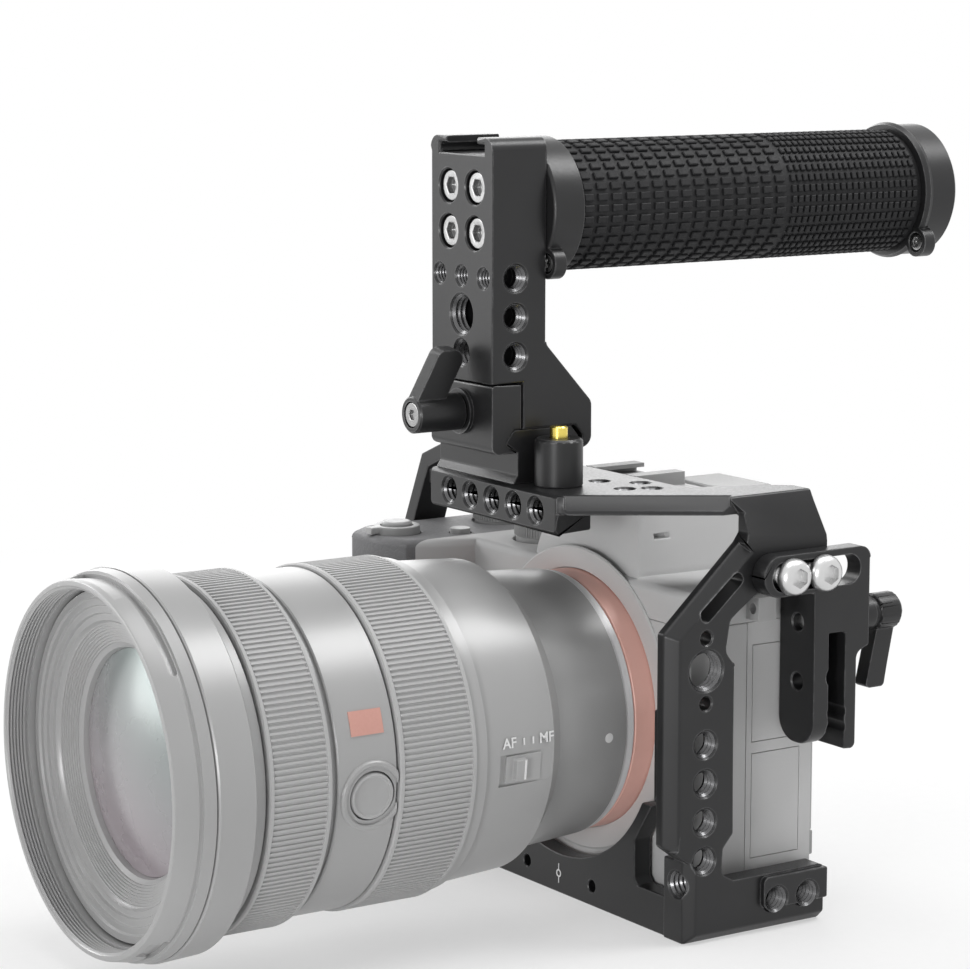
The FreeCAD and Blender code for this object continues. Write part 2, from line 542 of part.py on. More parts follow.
def buildHandle():
    y = "mountY - "
    post = Piece("handle_post")
    post.pad("YZ", [[(y + "postFront", "postTop"), (y + "postFront", "jawTop + 0.3"),
                     (y + "jawRear + 0.3", "jawTop + 0.3"), (y + "jawRear + 0.3", "flangeTop + 0.1"),
                     (y + "flangeRear - 1.7", "flangeTop + 0.1"), (y + "flangeRear + 0.3", "flangeMid + 0.8"),
                     (y + "flangeRear + 0.3", "flangeMid - 0.15"), (y + "6.6", "flangeMid - 1.78"),
                     (y + "6.6", "footLow"), (y + "footRear", "footLow"), (y + "footRear", "kneeLow"),
                     (y + "postRear", "kneeHigh"), (y + "postRear", "postTop")]],
             "-handleX - handleHalf", "handleHalf * 2", {9: "3", 10: "3", 11: "2"})
    # Accessory shoe across the top.
    post.pocket("XZ", [[("-handleX - 6.3", "postTop + 1"), ("-handleX - 6.3", "postTop - 1.6"),
                        ("-handleX - 9.4", "postTop - 1.6"), ("-handleX - 9.4", "postTop - 3.8"),
                        ("-handleX + 9.4", "postTop - 3.8"), ("-handleX + 9.4", "postTop - 1.6"),
                        ("-handleX + 6.3", "postTop - 1.6"), ("-handleX + 6.3", "postTop + 1")]],
                y + "postFront", "postFront - postRear")
    sides = [-sizes["handleX"] - sizes["handleHalf"], -sizes["handleX"] + sizes["handleHalf"]]
    top = sizes["postTop"]

    def pick(edge):
        middle = edge.CenterOfMass
        along = isinstance(edge.Curve, Part.Line) and abs(edge.Curve.Direction.y) > 0.999
        return along and abs(middle.z - top) < 1e-3 and min(abs(middle.x - x) for x in sides) < 1e-3
    post.dress("PartDesign::Fillet", pick, "3")
    # Screw seats, sockets on the front and on one side, and the clamp bolt hole.
    bolts = [("-handleX + boltX * %d" % side, height)
             for height in ("boltHigh", "boltLow") for side in (-1, 1)]
    post.hole("XZ", bolts, y + "postFront", "boltSeat", "boltHead + 0.4", "0.3")
    post.hole("XZ", bolts, y + "postFront + boltSeat", "15.2 - boltSeat", "2.3")
    post.hole("XZ", [("-handleX + 9.24 * %d" % step, "smallZ") for step in (-1, 0, 1)],
              y + "postFront", "tapDepth", "tapSmall", "tapBevel")
    post.hole("XZ", [("-handleX", "bigZ")], y + "postFront", "tapDepth", "tapThree", "tapBevel")
    post.hole("XZ", [("-handleX", "lowZ")], y + "postFront", "tapDepth", "tapQuarter", "tapBevel")
    post.hole("YZ", [("mountY - sideBoltY", "smallZ - holePitch * %d" % step) for step in range(3)],
              "-handleX + handleHalf", "6", "tapQuarter", "tapBevel", back=True)
    post.hole("XZ", [("-handleX", "leverZ")], y + "jawRear + 0.3", "jawRear - boltEnd + 1",
              "boltRadius + shaftGap")
    screws("post_screws", (0, -1, 0), [(u, y + "postFront + boltSeat", v) for u, v in bolts],
           "boltHead", 2.6, 2.0, 15, 2.1)
    jaw = Piece("clamp_jaw")
    jaw.pad("YZ", [[(y + "postFront", "jawTop"), (y + "postFront", "footLow"), (y + "23", "footLow"),
                    (y + "23", "flangeMid - 1.78"), (y + "flangeFront - 0.3", "flangeMid - 0.15"),
                    (y + "flangeFront - 0.3", "flangeMid + 0.8"),
                    (y + "flangeFront + 1.6", "flangeTop + 0.15"),
                    (y + "jawRear", "flangeTop + 0.15"), (y + "jawRear", "jawTop")]],
            "-handleX - handleHalf", "handleHalf * 2", {0: "0.8", 1: "2"})
    jaw.hole("XZ", [("-handleX", "leverZ")], y + "postFront", "10", "boltRadius + fitGap")
    buildLever(y)
    buildGrip(y)


def buildLever(y):
    """The clamp lever: washer, hub with a leaning arm, bolt and cap screw."""
    spot = {"x": "-handleX", "z": "leverZ"}
    ring("lever_washer", [(y + "postFront", "boltRadius + fitGap"), (y + "postFront", "5.4"),
                          (y + "postFront - 1", "5.4"), (y + "postFront - 1", "boltRadius + fitGap")], spot)
    lever = ring("clamp_lever", [(y + "hubNear", "boltRadius + shaftGap"), (y + "hubNear", "hubRadius - 0.4"),
                                 (y + "hubNear - 0.4", "hubRadius"), (y + "hubFar + 0.4", "hubRadius"),
                                 (y + "hubFar", "hubRadius - 0.4"), (y + "hubFar", "3.1"),
                                 (y + "hubFar + 1.4", "3.1"), (y + "hubFar + 1.4", "boltRadius + shaftGap")],
                 spot)
    lever.pad("YZ", [[(y + "hubFar", "3.4"), (y + "hubFar + 8", "3.4"), (y + "31", "armRise"),
                      (y + "38.5", "armRise")]], "-armHalf", "armHalf * 2", {2: "2.4", 3: "2.4"})
    tilt = FreeCAD.Rotation(FreeCAD.Vector(0, 1, 0), 10)
    lever.body.Placement = FreeCAD.Placement(lever.body.Placement.Base, tilt)
    ring("clamp_bolt", [(y + "boltEnd", 0), (y + "boltEnd", "boltRadius"),
                        (y + "hubFar + 1.5", "boltRadius"), (y + "hubFar + 1.5", 1.5),
                        (y + "hubFar + 8", 1.5), (y + "hubFar + 8", 0)], spot)
    screws("lever_cap_screw", (0, -1, 0), [("-handleX", y + "hubFar + 1.4", "leverZ")],
           2.85, 1.2, 1.4, 6, 1.3)


def buildGrip(y):
    spot = {"x": "-handleX", "z": "gripZ"}
    ring("grip_tube", [("mountY - collarRear - 4", "tubeRadius - 2.5"),
                       ("mountY - collarRear - 4", "tubeRadius"),
                       ("mountY + sleeveRear + 4", "tubeRadius"),
                       ("mountY + sleeveRear + 4", "tubeRadius - 2.5")], spot)
    collar = ring("front_collar", [(y + "postRear", 0), (y + "postRear", "collarRadius - 0.6"),
                                   (y + "postRear + 0.6", "collarRadius"), (y + "collarRear", "collarRadius"),
                                   (y + "collarRear", "tubeRadius + shaftGap"),
                                   (y + "collarRear - 4", "tubeRadius + shaftGap"),
                                   (y + "collarRear - 4", 0)], spot)
    collar.pad("XZ", [("lugX", "-lugZ", "lugRadius")], y + "postRear", "lugLong")
    bolts = [("boltX * %d" % side, "%s - gripZ" % height)
             for height in ("boltHigh", "boltLow") for side in (-1, 1)]
    collar.hole("XZ", bolts, y + "postRear", "3.5", "2.05")
    collar.hole("XZ", [("lugX", "-lugZ")], y + "postRear", "1.6", "2.4", "0.2")
    collar.hole("XZ", [("lugX", "-lugZ")], y + "postRear + 1.6", "lugLong - 1.6", "1.3")
    rows = [("mountY - collarRear", "tubeRadius + shaftGap"), ("mountY - collarRear", "sleeveRadius - 0.5")]
    place = -4.4
    while place < 97:
        pitch = 4.15 if place < 45 else 2.4
        rows.append(("mountY + %.2f" % place, "sleeveRadius - 0.5"))
        rows.append(("mountY + %.2f" % place, "sleeveRadius"))
        place += pitch - 0.7
        rows.append(("mountY + %.2f" % place, "sleeveRadius"))
        rows.append(("mountY + %.2f" % place, "sleeveRadius - 0.5"))
        place += 0.7
    rows.append(("mountY + sleeveRear", "sleeveRadius - 0.5"))
    rows.append(("mountY + sleeveRear", "tubeRadius + shaftGap"))
    ring("grip_sleeve", rows, spot)
    end = "mountY + sleeveRear"
    cap = ring("rear_collar", [(end, "tubeRadius + shaftGap"), (end, "collarRadius"),
                               (end + " + 1.2", "collarRadius + 0.6"), (end + " + 2.4", "collarRadius"),
                               ("mountY + capRear - 1.4", "collarRadius"),
                               ("mountY + capRear", "collarRadius - 1.4"), ("mountY + capRear", 0),
                               (end + " + 4", 0), (end + " + 4", "tubeRadius + shaftGap")], spot)
    cap.pad("XZ", [("lugX", "-lugZ", "lugRadius")], "mountY + sleeveRear", "lugLong")
    cap.hole("XZ", [("lugX", "-lugZ")], "mountY + sleeveRear", "1.6", "2.4", "0.2")
    cap.hole("XZ", [("lugX", "-lugZ")], "mountY + sleeveRear + 1.6", "lugLong - 1.6", "1.3")
    screws("collar_screws", (0, -1, 0),
           [("-handleX + lugX", "mountY - postRear + 1.6", "gripZ - lugZ"),
            ("-handleX + lugX", "mountY + sleeveRear + 1.6", "gripZ - lugZ")],
           2.1, 1.4, 1.2, 1.7, 1.2)


# ---------------------------------------------------------------- cable clamp


def buildCableClamp():
    y = "mountY + "
    low = [(y + "prongRear", "prongBottom"), (y + "prongRear", "heelZ - 1"), (y + "bracketRear", "heelZ")]
    legs = [(y + "legFront", "legBottom"), (y + "slotFront", "legBottom"), (y + "slotFront", "slotTop"),
            (y + "slotRear", "slotTop"), (y + "slotRear", "prongBottom")] + low
    bracket = Piece("cable_bracket")
    bracket.pad("YZ", [[(y + "bracketFront", "bracketLow"), (y + "legFront", "bracketLow")] + legs
                       + [(y + "bracketRear", "bracketHigh"), (y + "bracketFront", "bracketHigh")]],
                "sideOuter", "bracketThick", {0: "4.7", 11: "4.7", 10: "3"})
    bracket.pad("YZ", [legs + [(y + "bracketRear", "bracketLow"), (y + "legFront", "bracketLow")]],
                "legInner", "sideOuter - legInner", {5: "1.5", 6: "2.4"})
    foot = sizes["legBottom"]

    def pick(edge):
        along = isinstance(edge.Curve, Part.Line) and abs(edge.Curve.Direction.y) > 0.999
        return along and abs(edge.CenterOfMass.z - foot) < 1e-3
    bracket.dress("PartDesign::Fillet", pick, "5.8")
    slot = bracket.pocket("YZ", [rectangle(y + "13", y + "39", "clampScrewZ - 3.5", "clampScrewZ + 3.5")],
                          "sideOuter", "bracketThick")
    for corner in range(4):
        bracket.roundCorner(slot, "YZ", corner, "3.4")
    bracket.hole("XZ", [("cableLeverX", "cableLeverZ"), ("cableLeverX", "58.3")],
                 y + "legFront", "4.5", "2.0", "0.3")
    bracket.hole("XZ", [("cableLeverX", "cableLeverZ")], y + "legFront + 4.5", "12", "2.0")
    bracket.hole("YZ", [(y + "31.9", "59.8"), (y + "32.4", "51.2"), (y + "32.4", "47.5")],
                 "legInner", "sideOuter + bracketThick - legInner", "2.75")
    spots = [(y + "clampHeadY", "clampScrewZ"), (y + "clampHeadY + holePitch", "clampScrewZ")]
    screws("cable_bracket_screws", (1, 0, 0), [("sideOuter + bracketThick", u, v) for u, v in spots],
           4.35, 3.2, 3.12, 9.4, 2.4)
    spot = {"x": "cableLeverX", "z": "cableLeverZ"}
    lever = ring("cable_lever", [(y + "42.1", "2"), (y + "42.1", "4"), (y + "46.2", "4"), (y + "46.6", "3.6"),
                                 (y + "47.4", "3.6"), (y + "47.8", "4.4"), (y + "53.4", "4.4"),
                                 (y + "54.6", "3.2"), (y + "54.6", "0"), (y + "52", "0"),
                                 (y + "52", "2")], spot)
    lever.pad("YZ", [[(y + "48", "-3"), (y + "44.6", "-17.8"), (y + "50.2", "-17.8"), (y + "53.4", "-3")]],
              "-2", "4", {1: "1.2", 2: "1.2"})
    ring("cable_clamp_bolt", [(y + "27", 0), (y + "27", 1.94), (y + "51.95", 1.94), (y + "51.95", 0)], spot)


def buildBaseParts():
    screws("base_screw", (0, 0, -1), [(0, "screwY", "4.4")], "screwHead", 3.6, "screwShank", 5.2, 2.8)
    made = []
    for side in (-1, 1):
        pad = doc.addObject("Part::Box", "pad%d" % (side + 1))
        pad.setExpression("Length", bound("padWide"))
        pad.setExpression("Width", bound("padLong"))
        pad.setExpression("Height", bound("padDeep + camBottom - baseThick"))
        pad.setExpression("Placement.Base.x", bound("%d * padSpread - padWide / 2" % side))
        pad.setExpression("Placement.Base.y", bound("mountY + baseRear - padLong - 2"))
        pad.setExpression("Placement.Base.z", bound("baseThick - padDeep"))
        made.append(pad)
    named(joinSolids("cage_pads", made), "cage_pads")




# ---------------------------------------------------------------- camera body
def buildCamera():
    y = "mountY + "
    shellFace = rectangle("-camLeft", "camRight", "camBottom", "seamZ")
    hollow = rectangle("-camLeft + camWall", "camRight - camWall", "camBottom + camWall", "seamZ")
    frontShell = Piece("camera_front_shell")
    frontShell.pad("XZ", [shellFace], y + "0", "seamY", {1: "3"})
    frontShell.pad("XY", [gripOutline("0")], "camBottom", "seamZ - camBottom")
    frontShell.pocket("XZ", [hollow], y + "camWall", "seamY - camWall")
    frontShell.pocket("XY", [rectangle("-76.3", "-53.2", y + "-20", y + "15.6")], "camBottom", "batteryHigh")
    frontShell.pocket("XY", [doorOutline("0.2")], "camBottom", "doorThick + 0.2")
    frontShell.hole("XZ", [(0, "axisZ")], y + "0", "camWall", "throatRadius + 3")
    rearShell = Piece("camera_rear_shell")
    rearShell.pad("XZ", [shellFace], y + "seamY", "camRear - seamY", {1: "3"})
    rearShell.pocket("XZ", [hollow], y + "seamY", "camRear - seamY - camWall")
    rearShell.hole("XY", [(0, "screwY")], "camBottom", "camWall", "screwShank + shaftGap")
    # Wells under the menu button and the stick, deep enough for their travel.
    rearShell.hole("XZ", [("27", "67.2")], y + "camRear - 1", "1", "3")
    rearShell.hole("XZ", [("-54", "54")], y + "camRear - 0.8", "0.8", "3.7")
    for low, high in (("15.2", "40.6"), ("43.2", "66.6")):
        rearShell.pocket("YZ", [rectangle(y + "18", y + "32.5", low, high)], "camRight - 1.4", "1.4")
    rearShell.pocket("YZ", [rectangle(y + "17", y + "31", "22", "62")], "-camLeft", "1.6")
    buildTopCover(y)
    buildDoors(y)
    buildRearControls(y)
    buildTopControls(y)
    # Mount, sensor and board.
    ring("mount_ring", [(y + "-6.4", "throatRadius + 0.4"), (y + "-6.4", "mountRadius - 0.4"),
                        (y + "-6", "mountRadius"), (y + "0", "mountRadius"), (y + "0", "throatRadius + 0.4")])
    ring("mount_bezel", [(y + "-0.6", "mountRadius + 0.3"), (y + "-0.6", "36.6"), (y + "-0.3", "37"),
                         (y + "0", "37"), (y + "0", "mountRadius + 0.3")])
    sensor = Piece("image_sensor")
    sensor.pad("XZ", [rectangle("-22", "22", "axisZ - 16", "axisZ + 16")], y + "17.5", "4.5")
    sensor.pad("XZ", [rectangle("-17.9", "17.9", "axisZ - 12", "axisZ + 12")], y + "16.9", "0.6")
    sensor.pad("XZ", [rectangle("-12", "12", "camBottom + camWall", "axisZ - 15")], y + "19", "3")
    board = Piece("main_board")
    board.pad("XZ", [rectangle("-44", "40", "camBottom + camWall", "66")], y + "26", "1.6")
    board.pad("XZ", [rectangle("-14", "8", "38", "60")], y + "27.6", "2.2")
    board.pad("XZ", [rectangle("-38", "-24", "20", "34")], y + "27.6", "1.4")
    battery = Piece("battery")
    battery.pad("XY", [rectangle("-75.9", "-53.6", y + "-19.5", y + "15.4")],
                "camBottom + doorThick + 0.1", "batteryHigh - doorThick - 0.4")


def gripOutline(inset):
    return [("-camLeft + (%s)" % inset, "mountY + 0.01"), ("-camLeft + (%s)" % inset, "mountY - 14"),
            ("-75 + (%s)" % inset, "mountY - gripFront + 1.8"), ("-62", "mountY - gripFront + (%s)" % inset),
            ("-51 - (%s)" % inset, "mountY - 20.4 + (%s)" % inset), ("-46.5 - (%s)" % inset, "mountY - 9"),
            ("-45 - (%s)" % inset, "mountY + 0.01")]


def doorOutline(grow):
    return [("-77.4 - (%s)" % grow, "mountY + 15.6 + (%s)" % grow), ("-77.4 - (%s)" % grow, "mountY - 13.4"),
            ("-73.6", "mountY - 20.4 - (%s)" % grow), ("-62", "mountY - 21.6 - (%s)" % grow),
            ("-52.4 + (%s)" % grow, "mountY - 18.6 - (%s)" % grow),
            ("-51.6 + (%s)" % grow, "mountY + 15.6 + (%s)" % grow)]


def buildTopCover(y):
    cover = Piece("camera_top_cover")
    outline = [("camRight", y + "0"), ("camRight", y + "camRear"), ("-camLeft", y + "camRear"),
               ("-camLeft", y + "-13"), ("-74", y + "-19.5"), ("-62", y + "-20.5"), ("-52.5", y + "-16.5"),
               ("-48", y + "-7"), ("-46", y + "0")]
    cover.pad("XY", [outline], "seamZ", "shoulderHigh - seamZ", {0: "3", 1: "5", 2: "5", 3: "6"})
    cover.rim("z", "high", "2", "Fillet")
    cover.pad("YZ", [[(y + "1", "seamZ + 4"), (y + "camRear", "seamZ + 4"), (y + "camRear", "humpTop - 5"),
                      (y + "24.5", "humpTop"), (y + "8", "humpTop"), (y + "4.2", "humpTop - 4.5")]],
              "-humpHalf", "humpHalf * 2")
    for side in (-1, 1):
        cover.pocket("XZ", [[("humpHalf * %d" % side, "shoulderHigh + 2"),
                             ("(humpHalf + 2) * %d" % side, "shoulderHigh + 2"),
                             ("(humpHalf + 2) * %d" % side, "humpTop + 1"),
                             ("(humpHalf - 5.2) * %d" % side, "humpTop + 1"),
                             ("(humpHalf - 5) * %d" % side, "humpTop")]], y + "0", "camRear")
    cover.pocket("XY", [rectangle("-camLeft + camWall", "camRight - camWall", y + "camWall",
                                  y + "camRear - camWall")], "seamZ", "5")
    cover.pocket("XZ", [rectangle("-11", "11", "82", "93.5")], y + "camRear - 14", "14")
    # Microphone slots in the slopes of the hump.
    for side in (-1, 1):
        cover.pocket("YZ", [rectangle(y + "8", y + "12.5", "88.8", "90")],
                     "humpHalf * %d - 4" % side, "8")
    # Seats of the dials and buttons on the shoulder.
    cover.hole("XY", [("-66", y + "22")], "shoulderHigh", "3.4", "8.3", back=True)
    cover.hole("XY", [("-65", y + "-11.5")], "shoulderHigh", "3.4", "6.3", back=True)
    cover.hole("XY", [("-56", y + "2")], "shoulderHigh", "2.4", "2.9", back=True)
    cover.hole("XY", [("-36", y + "16")], "shoulderHigh", "3.4", "9.3", back=True)
    return cover


def buildDoors(y):
    for name, low, high in (("port_door_low", "15.4", "40.4"), ("port_door_high", "43.4", "66.4")):
        door = Piece(name)
        door.pad("YZ", [rectangle(y + "18.2", y + "32.3", low, high)], "camRight - 1.3", "1.3")
    card = Piece("card_door")
    card.pad("YZ", [rectangle(y + "17.2", y + "30.8", "22.2", "61.8")], "-camLeft + 0.1", "1.4")
    hatch = Piece("battery_door")
    hatch.pad("XY", [doorOutline("0")], "camBottom", "doorThick")
    lugs = []
    for number, (edge, reach) in enumerate((("camRight", "4.6"), ("-camLeft - 4.6", "4.6"))):
        plate = doc.addObject("Part::Box", "lug%d" % number)
        plate.setExpression("Length", bound(reach))
        plate.setExpression("Width", bound("5.2"))
        plate.setExpression("Height", bound("5.6"))
        plate.setExpression("Placement.Base.x", bound(edge))
        plate.setExpression("Placement.Base.y", bound(y + "16"))
        plate.setExpression("Placement.Base.z", bound("73"))
        slot = solid("Cylinder", "lug%d_slot" % number, (0, 1, 0),
                     ("(%s) + 2.4" % edge, y + "15", "75.8"), Radius="1.3", Height="8")
        cut = doc.addObject("Part::Cut", "lug%d_cut" % number)
        cut.Base = plate
        cut.Tool = slot
        lugs.append(cut)
    named(joinSolids("strap_lugs", lugs), "strap_lugs")


def buildRearControls(y):
    """Screen on its hinge, eyecup, eyepiece and the rear buttons."""
    hinge = Piece("display_hinge")
    hinge.pad("XZ", [rectangle("36.5", "41.5", "12", "64")], y + "camRear", "0.8")
    for low in ("12", "58"):
        hinge.pad("XZ", [rectangle("36.5", "40.5", low, low + " + 6")], y + "camRear + 0.8", "3.4")
    hinge.pad("XY", [("38.5", y + "camRear + 2.8", "1")], "18", "40")
    screen = Piece("display_panel")
    screen.pad("XZ", [rectangle("-34", "36", "12", "64")], y + "camRear + 0.4", "4.4",
               {0: "2", 1: "2", 2: "2", 3: "2"})
    screen.pocket("XZ", [rectangle("-30.5", "32.5", "15.5", "60.5")], y + "camRear + 4.2", "0.6")
    screen.pad("XY", [("38.5", y + "camRear + 2.8", "1.9")], "18.2", "39.6")
    screen.pad("XY", [rectangle("35.5", "38.5", y + "camRear + 2.8", y + "camRear + 4.6")], "18.2", "39.6")
    screen.hole("XY", [("38.5", y + "camRear + 2.8")], "18.2", "39.6", "1 + shaftGap")
    cup = Piece("eyecup")
    cup.pad("XZ", [rectangle("-15.4", "15.4", "77", "97.4")], y + "camRear", "13.6",
            {0: "4", 1: "4", 2: "6", 3: "6"})
    cup.pocket("XZ", [rectangle("-11", "11", "82", "93.5")], y + "camRear", "13.6")
    eye = Piece("eyepiece_glass")
    eye.pad("XZ", [rectangle("-10.9", "10.9", "82.1", "93.4")], y + "camRear - 4", "2")
    wheel = Piece("control_wheel", {"x": "-58", "z": "32"})
    wheel.pad("XZ", [(0, 0, "10.5")], y + "camRear", "2.2")
    wheel.hole("XZ", [(0, 0)], y + "camRear + 1.2", "1", "4.4")
    stick = Piece("joystick", {"x": "-54", "z": "54"})
    stick.pad("XZ", [(0, 0, "3.4")], y + "camRear - 0.25", "3.85")
    stick.rim("y", "high", "0.8", "Fillet")
    button = Piece("menu_button", {"x": "27", "z": "67.2"})
    button.pad("XZ", [(0, 0, "2.7")], y + "camRear - 0.1", "1.5")


def buildTopControls(y):
    """Shoe, shutter and power switch, dials and buttons on the top cover."""
    shoe = Piece("hot_shoe")
    shoe.pad("XY", [rectangle("-10.3", "10.3", y + "8.9", y + "23.5")], "humpTop", "shoeTop - humpTop")
    shoe.pocket("XZ", [[("-6.2", "shoeTop"), ("-6.2", "shoeTop - 1"), ("-9.3", "shoeTop - 1"),
                        ("-9.3", "humpTop + 0.9"), ("9.3", "humpTop + 0.9"), ("9.3", "shoeTop - 1"),
                        ("6.2", "shoeTop - 1"), ("6.2", "shoeTop")]], y + "8.9", "15")
    switch = Piece("power_switch", {"x": "-65", "y": y + "-11.5"})
    switch.pad("XY", [(0, 0, "6")], "shoulderHigh - 3.4", "5.4")
    switch.pad("XY", [rectangle("-1.6", "1.6", "-8.6", "-4")], "shoulderHigh + 0.2", "1.8")
    switch.hole("XY", [(0, 0)], "shoulderHigh - 3.4", "5.4", "4.2")
    button = Piece("shutter_button", {"x": "-65", "y": y + "-11.5"})
    button.pad("XY", [(0, 0, "3.9")], "shoulderHigh - 1.8", "4.8")
    button.rim("z", "high", "0.8", "Fillet")
    dial = Piece("mode_dial", {"x": "-36", "y": y + "16"})
    dial.pad("XY", [(0, 0, "9")], "shoulderHigh - 3.4", "11.6")
    dial.rim("z", "high", "0.7")
    dial = Piece("exposure_dial", {"x": "-66", "y": y + "22"})
    dial.pad("XY", [(0, 0, "8")], "shoulderHigh - 3.4", "8.6")
    dial.rim("z", "high", "0.7")
    button = Piece("custom_button", {"x": "-56", "y": y + "2"})
    button.pad("XY", [(0, 0, "2.6")], "shoulderHigh - 1.7", "2.9")


# ---------------------------------------------------------------- lens
def lensY(distance):
    return "mountY - %s" % distance


def buildLens():
    rear = ring("lens_rear_barrel",
                [(lensY(9.4), 29.5), (lensY(9.4), 32.2), (lensY(28.9), 33.4), (lensY(31.5), 34.9),
                 (lensY(33.1), 37),
                 (lensY(49.4), 38), (lensY(52.7), 38.2), (lensY(52.7), 39.2), (lensY(55.6), 39.2),
                 (lensY(55.6), 37.4), (lensY(76.2), 37.4), (lensY(76.2), 38.6), (lensY(76.5), 38.6),
                 (lensY(76.5), 37.4), (lensY(112), 37.4), (lensY(112), 35.2), (lensY(52), 35.2),
                 (lensY(30), 32), (lensY(26), 29.5)])
    ring("lens_mount_skirt", [(lensY(-1.5), 20), (lensY(-1.5), 21.6), (lensY(6.5), 21.6), (lensY(6.5), 31.3),
                              (lensY(6.9), 31.7), (lensY(9.4), 31.7), (lensY(9.4), 28), (lensY(8), 28),
                              (lensY(8), 20)])
    gripRing("zoom_ring", 55.9, 76.0, 40.1)
    gripRing("focus_ring", 93.7, 109.3, 40.9)
    middle = ring("lens_middle_barrel",
                  [(lensY(76.5), 37.45), (lensY(76.5), 39.1), (lensY(76.8), 39.4), (lensY(91.3), 39.4),
                   (lensY(91.6), 39.1), (lensY(91.6), 38.4), (lensY(93.4), 38.4), (lensY(93.4), 37.45)])
    front = ring("lens_front_barrel",
                 [(lensY(109.6), 37.45), (lensY(109.6), 39.9), (lensY(113.9), 39.9), (lensY(113.9), 43.6),
                  (lensY(114.2), 43.8), (lensY(123.1), 44.25), (lensY(126.6), 43.5), (lensY(126.8), 42.9),
                  (lensY(127.3), 42.9), (lensY(127.5), 43.0), (lensY(132.5), 42.0), (lensY(132.8), 41.7),
                  (lensY(132.8), 40.6), (lensY(127.4), 40.6), (lensY(127.4), 39.8), (lensY(118), 39.8),
                  (lensY(118), 34), (lensY(112), 34), (lensY(112), 37.45)])
    ring("front_lens_group",
         [(lensY(125.4), 39.5), (lensY(126.2), 39.1), (lensY(126.2), 36.4), (lensY(125), 36.4),
          (lensY(125), 34.8), (lensY(123.6), 34.8), (lensY(123.6), 33.2), (lensY(122.2), 33.2),
          (lensY(122.2), 31.6), (lensY(104), 31.6), (lensY(104), 33.6), (lensY(122), 33.6),
          (lensY(122), 39.5)])
    buildGlass()
    lensControls(middle, rear)


def gripRing(name, near, far, high):
    """A plain control ring with bevelled shoulders."""
    inner = 37.7
    ring(name, [(lensY(near), inner), (lensY(near), high - 0.5), (lensY(near + 0.5), high),
                (lensY(far - 0.5), high), (lensY(far), high - 0.5), (lensY(far), inner)])


def buildGlass():
    """Domed front element in its cell and the rear element."""
    steps = 8
    radius = 31.55
    dome = []
    for step in range(steps + 1):
        share = step / steps
        dome.append((lensY("%.3f" % (118 + 5.5 * (1 - share * share))), "%.3f" % (radius * share)))
    ring("front_glass", dome + [(lensY(112), radius), (lensY(112), 0)])
    ring("rear_glass", [(lensY(10), 0), (lensY(10), 20.8), (lensY(8.1), 20.8), (lensY(8.1), 19.7),
                        (lensY(3.5), 16), (lensY(2), 0)])


def turned(piece, degrees):
    spin = FreeCAD.Rotation(FreeCAD.Vector(0, 1, 0), -degrees)
    piece.body.Placement = FreeCAD.Placement(piece.body.Placement.Base, spin)


def radial(name, degrees, distance, start, radius, length):
    """A cylinder pointing outwards from the lens axis."""
    turn = math.radians(degrees)
    out = (math.cos(turn), 0, math.sin(turn))
    at = ("(%s) * %.6f" % (start, out[0]), lensY(distance), "axisZ + (%s) * %.6f" % (start, out[2]))
    return solid("Cylinder", name, out, at, Radius=radius, Height=length)


def lensControls(middle, rear):
    """Focus-hold button and focus-mode switch, in seats on the barrels."""
    cutFrom(middle, [radial("hold_seat", -6.4, 82.8, 36, "5.7", "5")])
    named(radial("focus_hold_button", -6.4, 82.8, 38, "5.4", "1.5"), "focus_hold_button")
    slot = Piece("switch_slot", {"z": "axisZ"})
    nodes.remove(slot.body)
    slot.pad("XY", [rectangle("36.9", "41", lensY(48.4), lensY(33.3))], "-3.8", "7.6")
    turned(slot, -6.3)
    cutFrom(rear, [slot.body])
    knob = Piece("focus_mode_switch", {"z": "axisZ"})
    knob.pad("XY", [rectangle("36.9", "37.4", lensY(46.4), lensY(37))], "-3.2", "6.4")
    knob.pad("XY", [rectangle("37.3", "38.8", lensY(44.4), lensY(41.4))], "-2.4", "4.8")
    turned(knob, -6.3)


buildCage()
buildRail()
buildHandle()
buildCableClamp()
buildBaseParts()
buildCamera()
buildLens()


# ---------------------------------------------------------------- checks and export
doc.recompute()
for thing in doc.Objects:
    if "Invalid" in thing.State or "Error" in thing.State:
        raise RuntimeError("bad state in " + thing.Label)
for node in nodes:
    if node.Shape.isNull() or not node.Shape.isValid():
        raise RuntimeError("bad shape in " + node.Label)
os.makedirs("parts", exist_ok=True)
for node in nodes:
    node.Shape.exportStep("parts/%s.step" % node.Label)
print(len(nodes), "nodes written")
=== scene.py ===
import json
import math

import bpy
from mathutils import Matrix, Vector


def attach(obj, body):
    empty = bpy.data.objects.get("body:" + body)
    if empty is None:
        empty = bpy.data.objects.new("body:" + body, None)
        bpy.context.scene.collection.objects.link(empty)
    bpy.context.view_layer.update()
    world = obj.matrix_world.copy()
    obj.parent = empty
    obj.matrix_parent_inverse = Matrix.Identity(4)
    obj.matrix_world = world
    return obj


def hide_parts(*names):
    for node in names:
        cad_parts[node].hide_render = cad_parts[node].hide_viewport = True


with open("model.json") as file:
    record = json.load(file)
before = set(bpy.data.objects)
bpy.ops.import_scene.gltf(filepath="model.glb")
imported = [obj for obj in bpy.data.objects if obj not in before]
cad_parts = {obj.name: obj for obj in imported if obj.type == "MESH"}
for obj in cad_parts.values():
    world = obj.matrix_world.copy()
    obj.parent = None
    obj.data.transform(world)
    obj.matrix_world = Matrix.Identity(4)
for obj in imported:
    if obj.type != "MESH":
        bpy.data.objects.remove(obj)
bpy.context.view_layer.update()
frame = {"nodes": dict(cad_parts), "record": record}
nodes = frame["nodes"]
record = frame["record"]
mm = 0.001
lensZ = 48.1
axisRadius = 0.001  # in millimetres, as near to an axis as a turned outline comes
